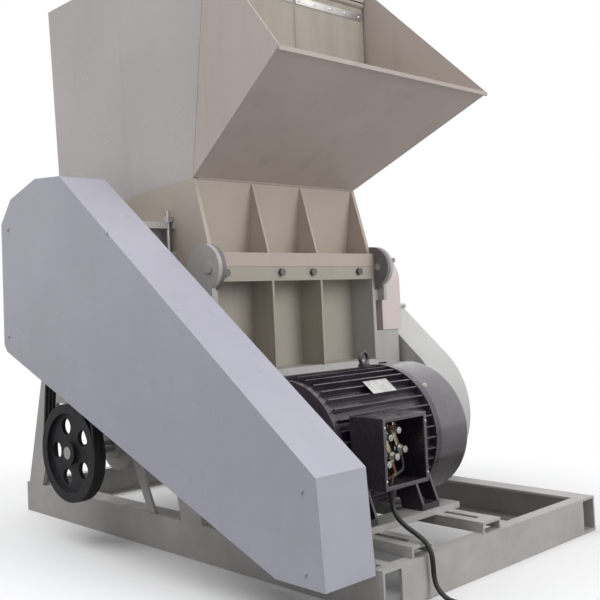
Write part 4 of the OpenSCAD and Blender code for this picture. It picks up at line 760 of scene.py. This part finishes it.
def weld_bead(name, points, body, r=0.0035, material=None):
    """A ripple-surfaced bead of weld along a seam."""
    points = [Vector(p) for p in points]
    bm = bmesh.new()
    fine = []
    for a, b in zip(points, points[1:]):
        count = max(2, int((b - a).length / 0.006))
        fine += [a.lerp(b, k / count) for k in range(count)]
    fine.append(points[-1])
    rings, side = [], None
    for i, p in enumerate(fine):
        way = (fine[min(i + 1, len(fine) - 1)] - fine[max(i - 1, 0)]).normalized()
        side = way.orthogonal().normalized() if side is None else (side - way * side.dot(way)).normalized()
        other = way.cross(side)
        size = r * (1 + 0.16 * math.sin(i * 2.1) + 0.08 * math.sin(i * 0.7))
        rings.append([bm.verts.new(p + size * (side * math.cos(t) + other * math.sin(t)))
                      for t in (2 * math.pi * k / 8 for k in range(8))])
    for low, high in zip(rings, rings[1:]):
        for k in range(8):
            n = (k + 1) % 8
            bm.faces.new([low[k], low[n], high[n], high[k]])
    bm.faces.new(rings[0])
    bm.faces.new(rings[-1])
    return mesh_piece(name, bm, material or paint, body, angle=80)


def rib_welds():
    """Fillet welds down both sides of the ribs on the chamber's front, and along its two long seams."""
    beads = 0
    fold_y, fold_z = CHUTE_FOLD
    for x in RIB_PLACES_X:
        for side in (x - 0.001, x + 0.013):
            upper = [(side, CHAMBER_FRONT_Y, FLANGE_BAR_Z), (side, fold_y + 0.0025, fold_z - 0.0025)]
            weld_bead(f"upper_rib_weld_{beads}", upper, "hopper", 0.0032, upper_paint)
            lower = [(side, RIB_FOOT_Y, 0.815), (side, RIB_FOOT_Y, 1.038)]
            weld_bead(f"lower_rib_weld_{beads}", lower, "machine", 0.0032, chamber_paint)
            beads += 1
    seams = (("chute_weld", fold_y, fold_z, chute_paint),
             ("upper_flange_weld", CHAMBER_FRONT_Y, FLANGE_BAR_Z - 0.0005, upper_paint))
    for name, y, z, material in seams:
        weld_bead(name, [(-WELD_REACH_X, y, z), (WELD_REACH_X, y, z)], "hopper", 0.0035, material)


def curtain_strips():
    """A flat bar with screws that clamps the top of each curtain."""
    screw = [(0, 0), (0.0065, 0), (0.0065, 0.0016), (0.0042, 0.0030), (0, 0.0032)]
    for name in ("left", "right"):
        body = f"{name}_flap"
        low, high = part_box(f"curtain_{name}")
        width = high.x - low.x
        bar, screws = bmesh.new(), bmesh.new()
        mid = ((low.x + high.x) / 2, CURTAIN_BAR_Y, CURTAIN_BAR_Z)
        add_slab(bar, (width - 0.02, 0.0024, 0.036), Matrix.Translation(mid), 0.0008)
        for k in range(5):
            x = low.x + 0.03 + k * (width - 0.06) / 4
            add_lathe(screws, screw, place((x, CURTAIN_BAR_Y - 0.001, CURTAIN_BAR_Z), (0, -1, 0)), 16)
        mesh_piece(f"curtain_bar_{name}", bar, steel, body)
        mesh_piece(f"curtain_screws_{name}", screws, bright_steel, body)


def blower_details():
    """Screws round the casing's outer plate, and a hem round its outlet."""
    screw_ring_r = 0.35
    out_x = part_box("blower_housing")[1].x
    screws = bmesh.new()
    for k in range(12):
        a = math.radians(15 + 30 * k)
        at = Vector((out_x, 0, 0)) + BLOWER_AXIS + Vector((0, math.cos(a), math.sin(a))) * screw_ring_r
        add_bolt(screws, at, (1, 0, 0), 0.0075)
    mesh_piece("casing_screws", screws, bright_steel, "machine")

    hem = bmesh.new()
    casing_mid_x, outlet_y, outlet_mid, outlet_half = 0.802, 0.339, 0.258, 0.115
    turn = Matrix.Translation(BLOWER_AXIS + Vector((casing_mid_x, 0, 0)))
    turn = turn @ Matrix.Rotation(math.radians(43.4), 4, "X")
    for side in (-1, 1):
        z = outlet_mid + side * (outlet_half + 0.007)
        add_slab(hem, (0.224, 0.018, 0.014), turn @ Matrix.Translation((0, outlet_y, z)), 0.002)
    add_slab(hem, (0.014, 0.018, 0.258), turn @ Matrix.Translation((0.119, outlet_y, outlet_mid)), 0.002)
    mesh_piece("outlet_hem", hem, paint, "machine")


guard_screws()
cover_screws()
motor_details()
terminal_details()
rib_welds()
curtain_strips()
blower_details()
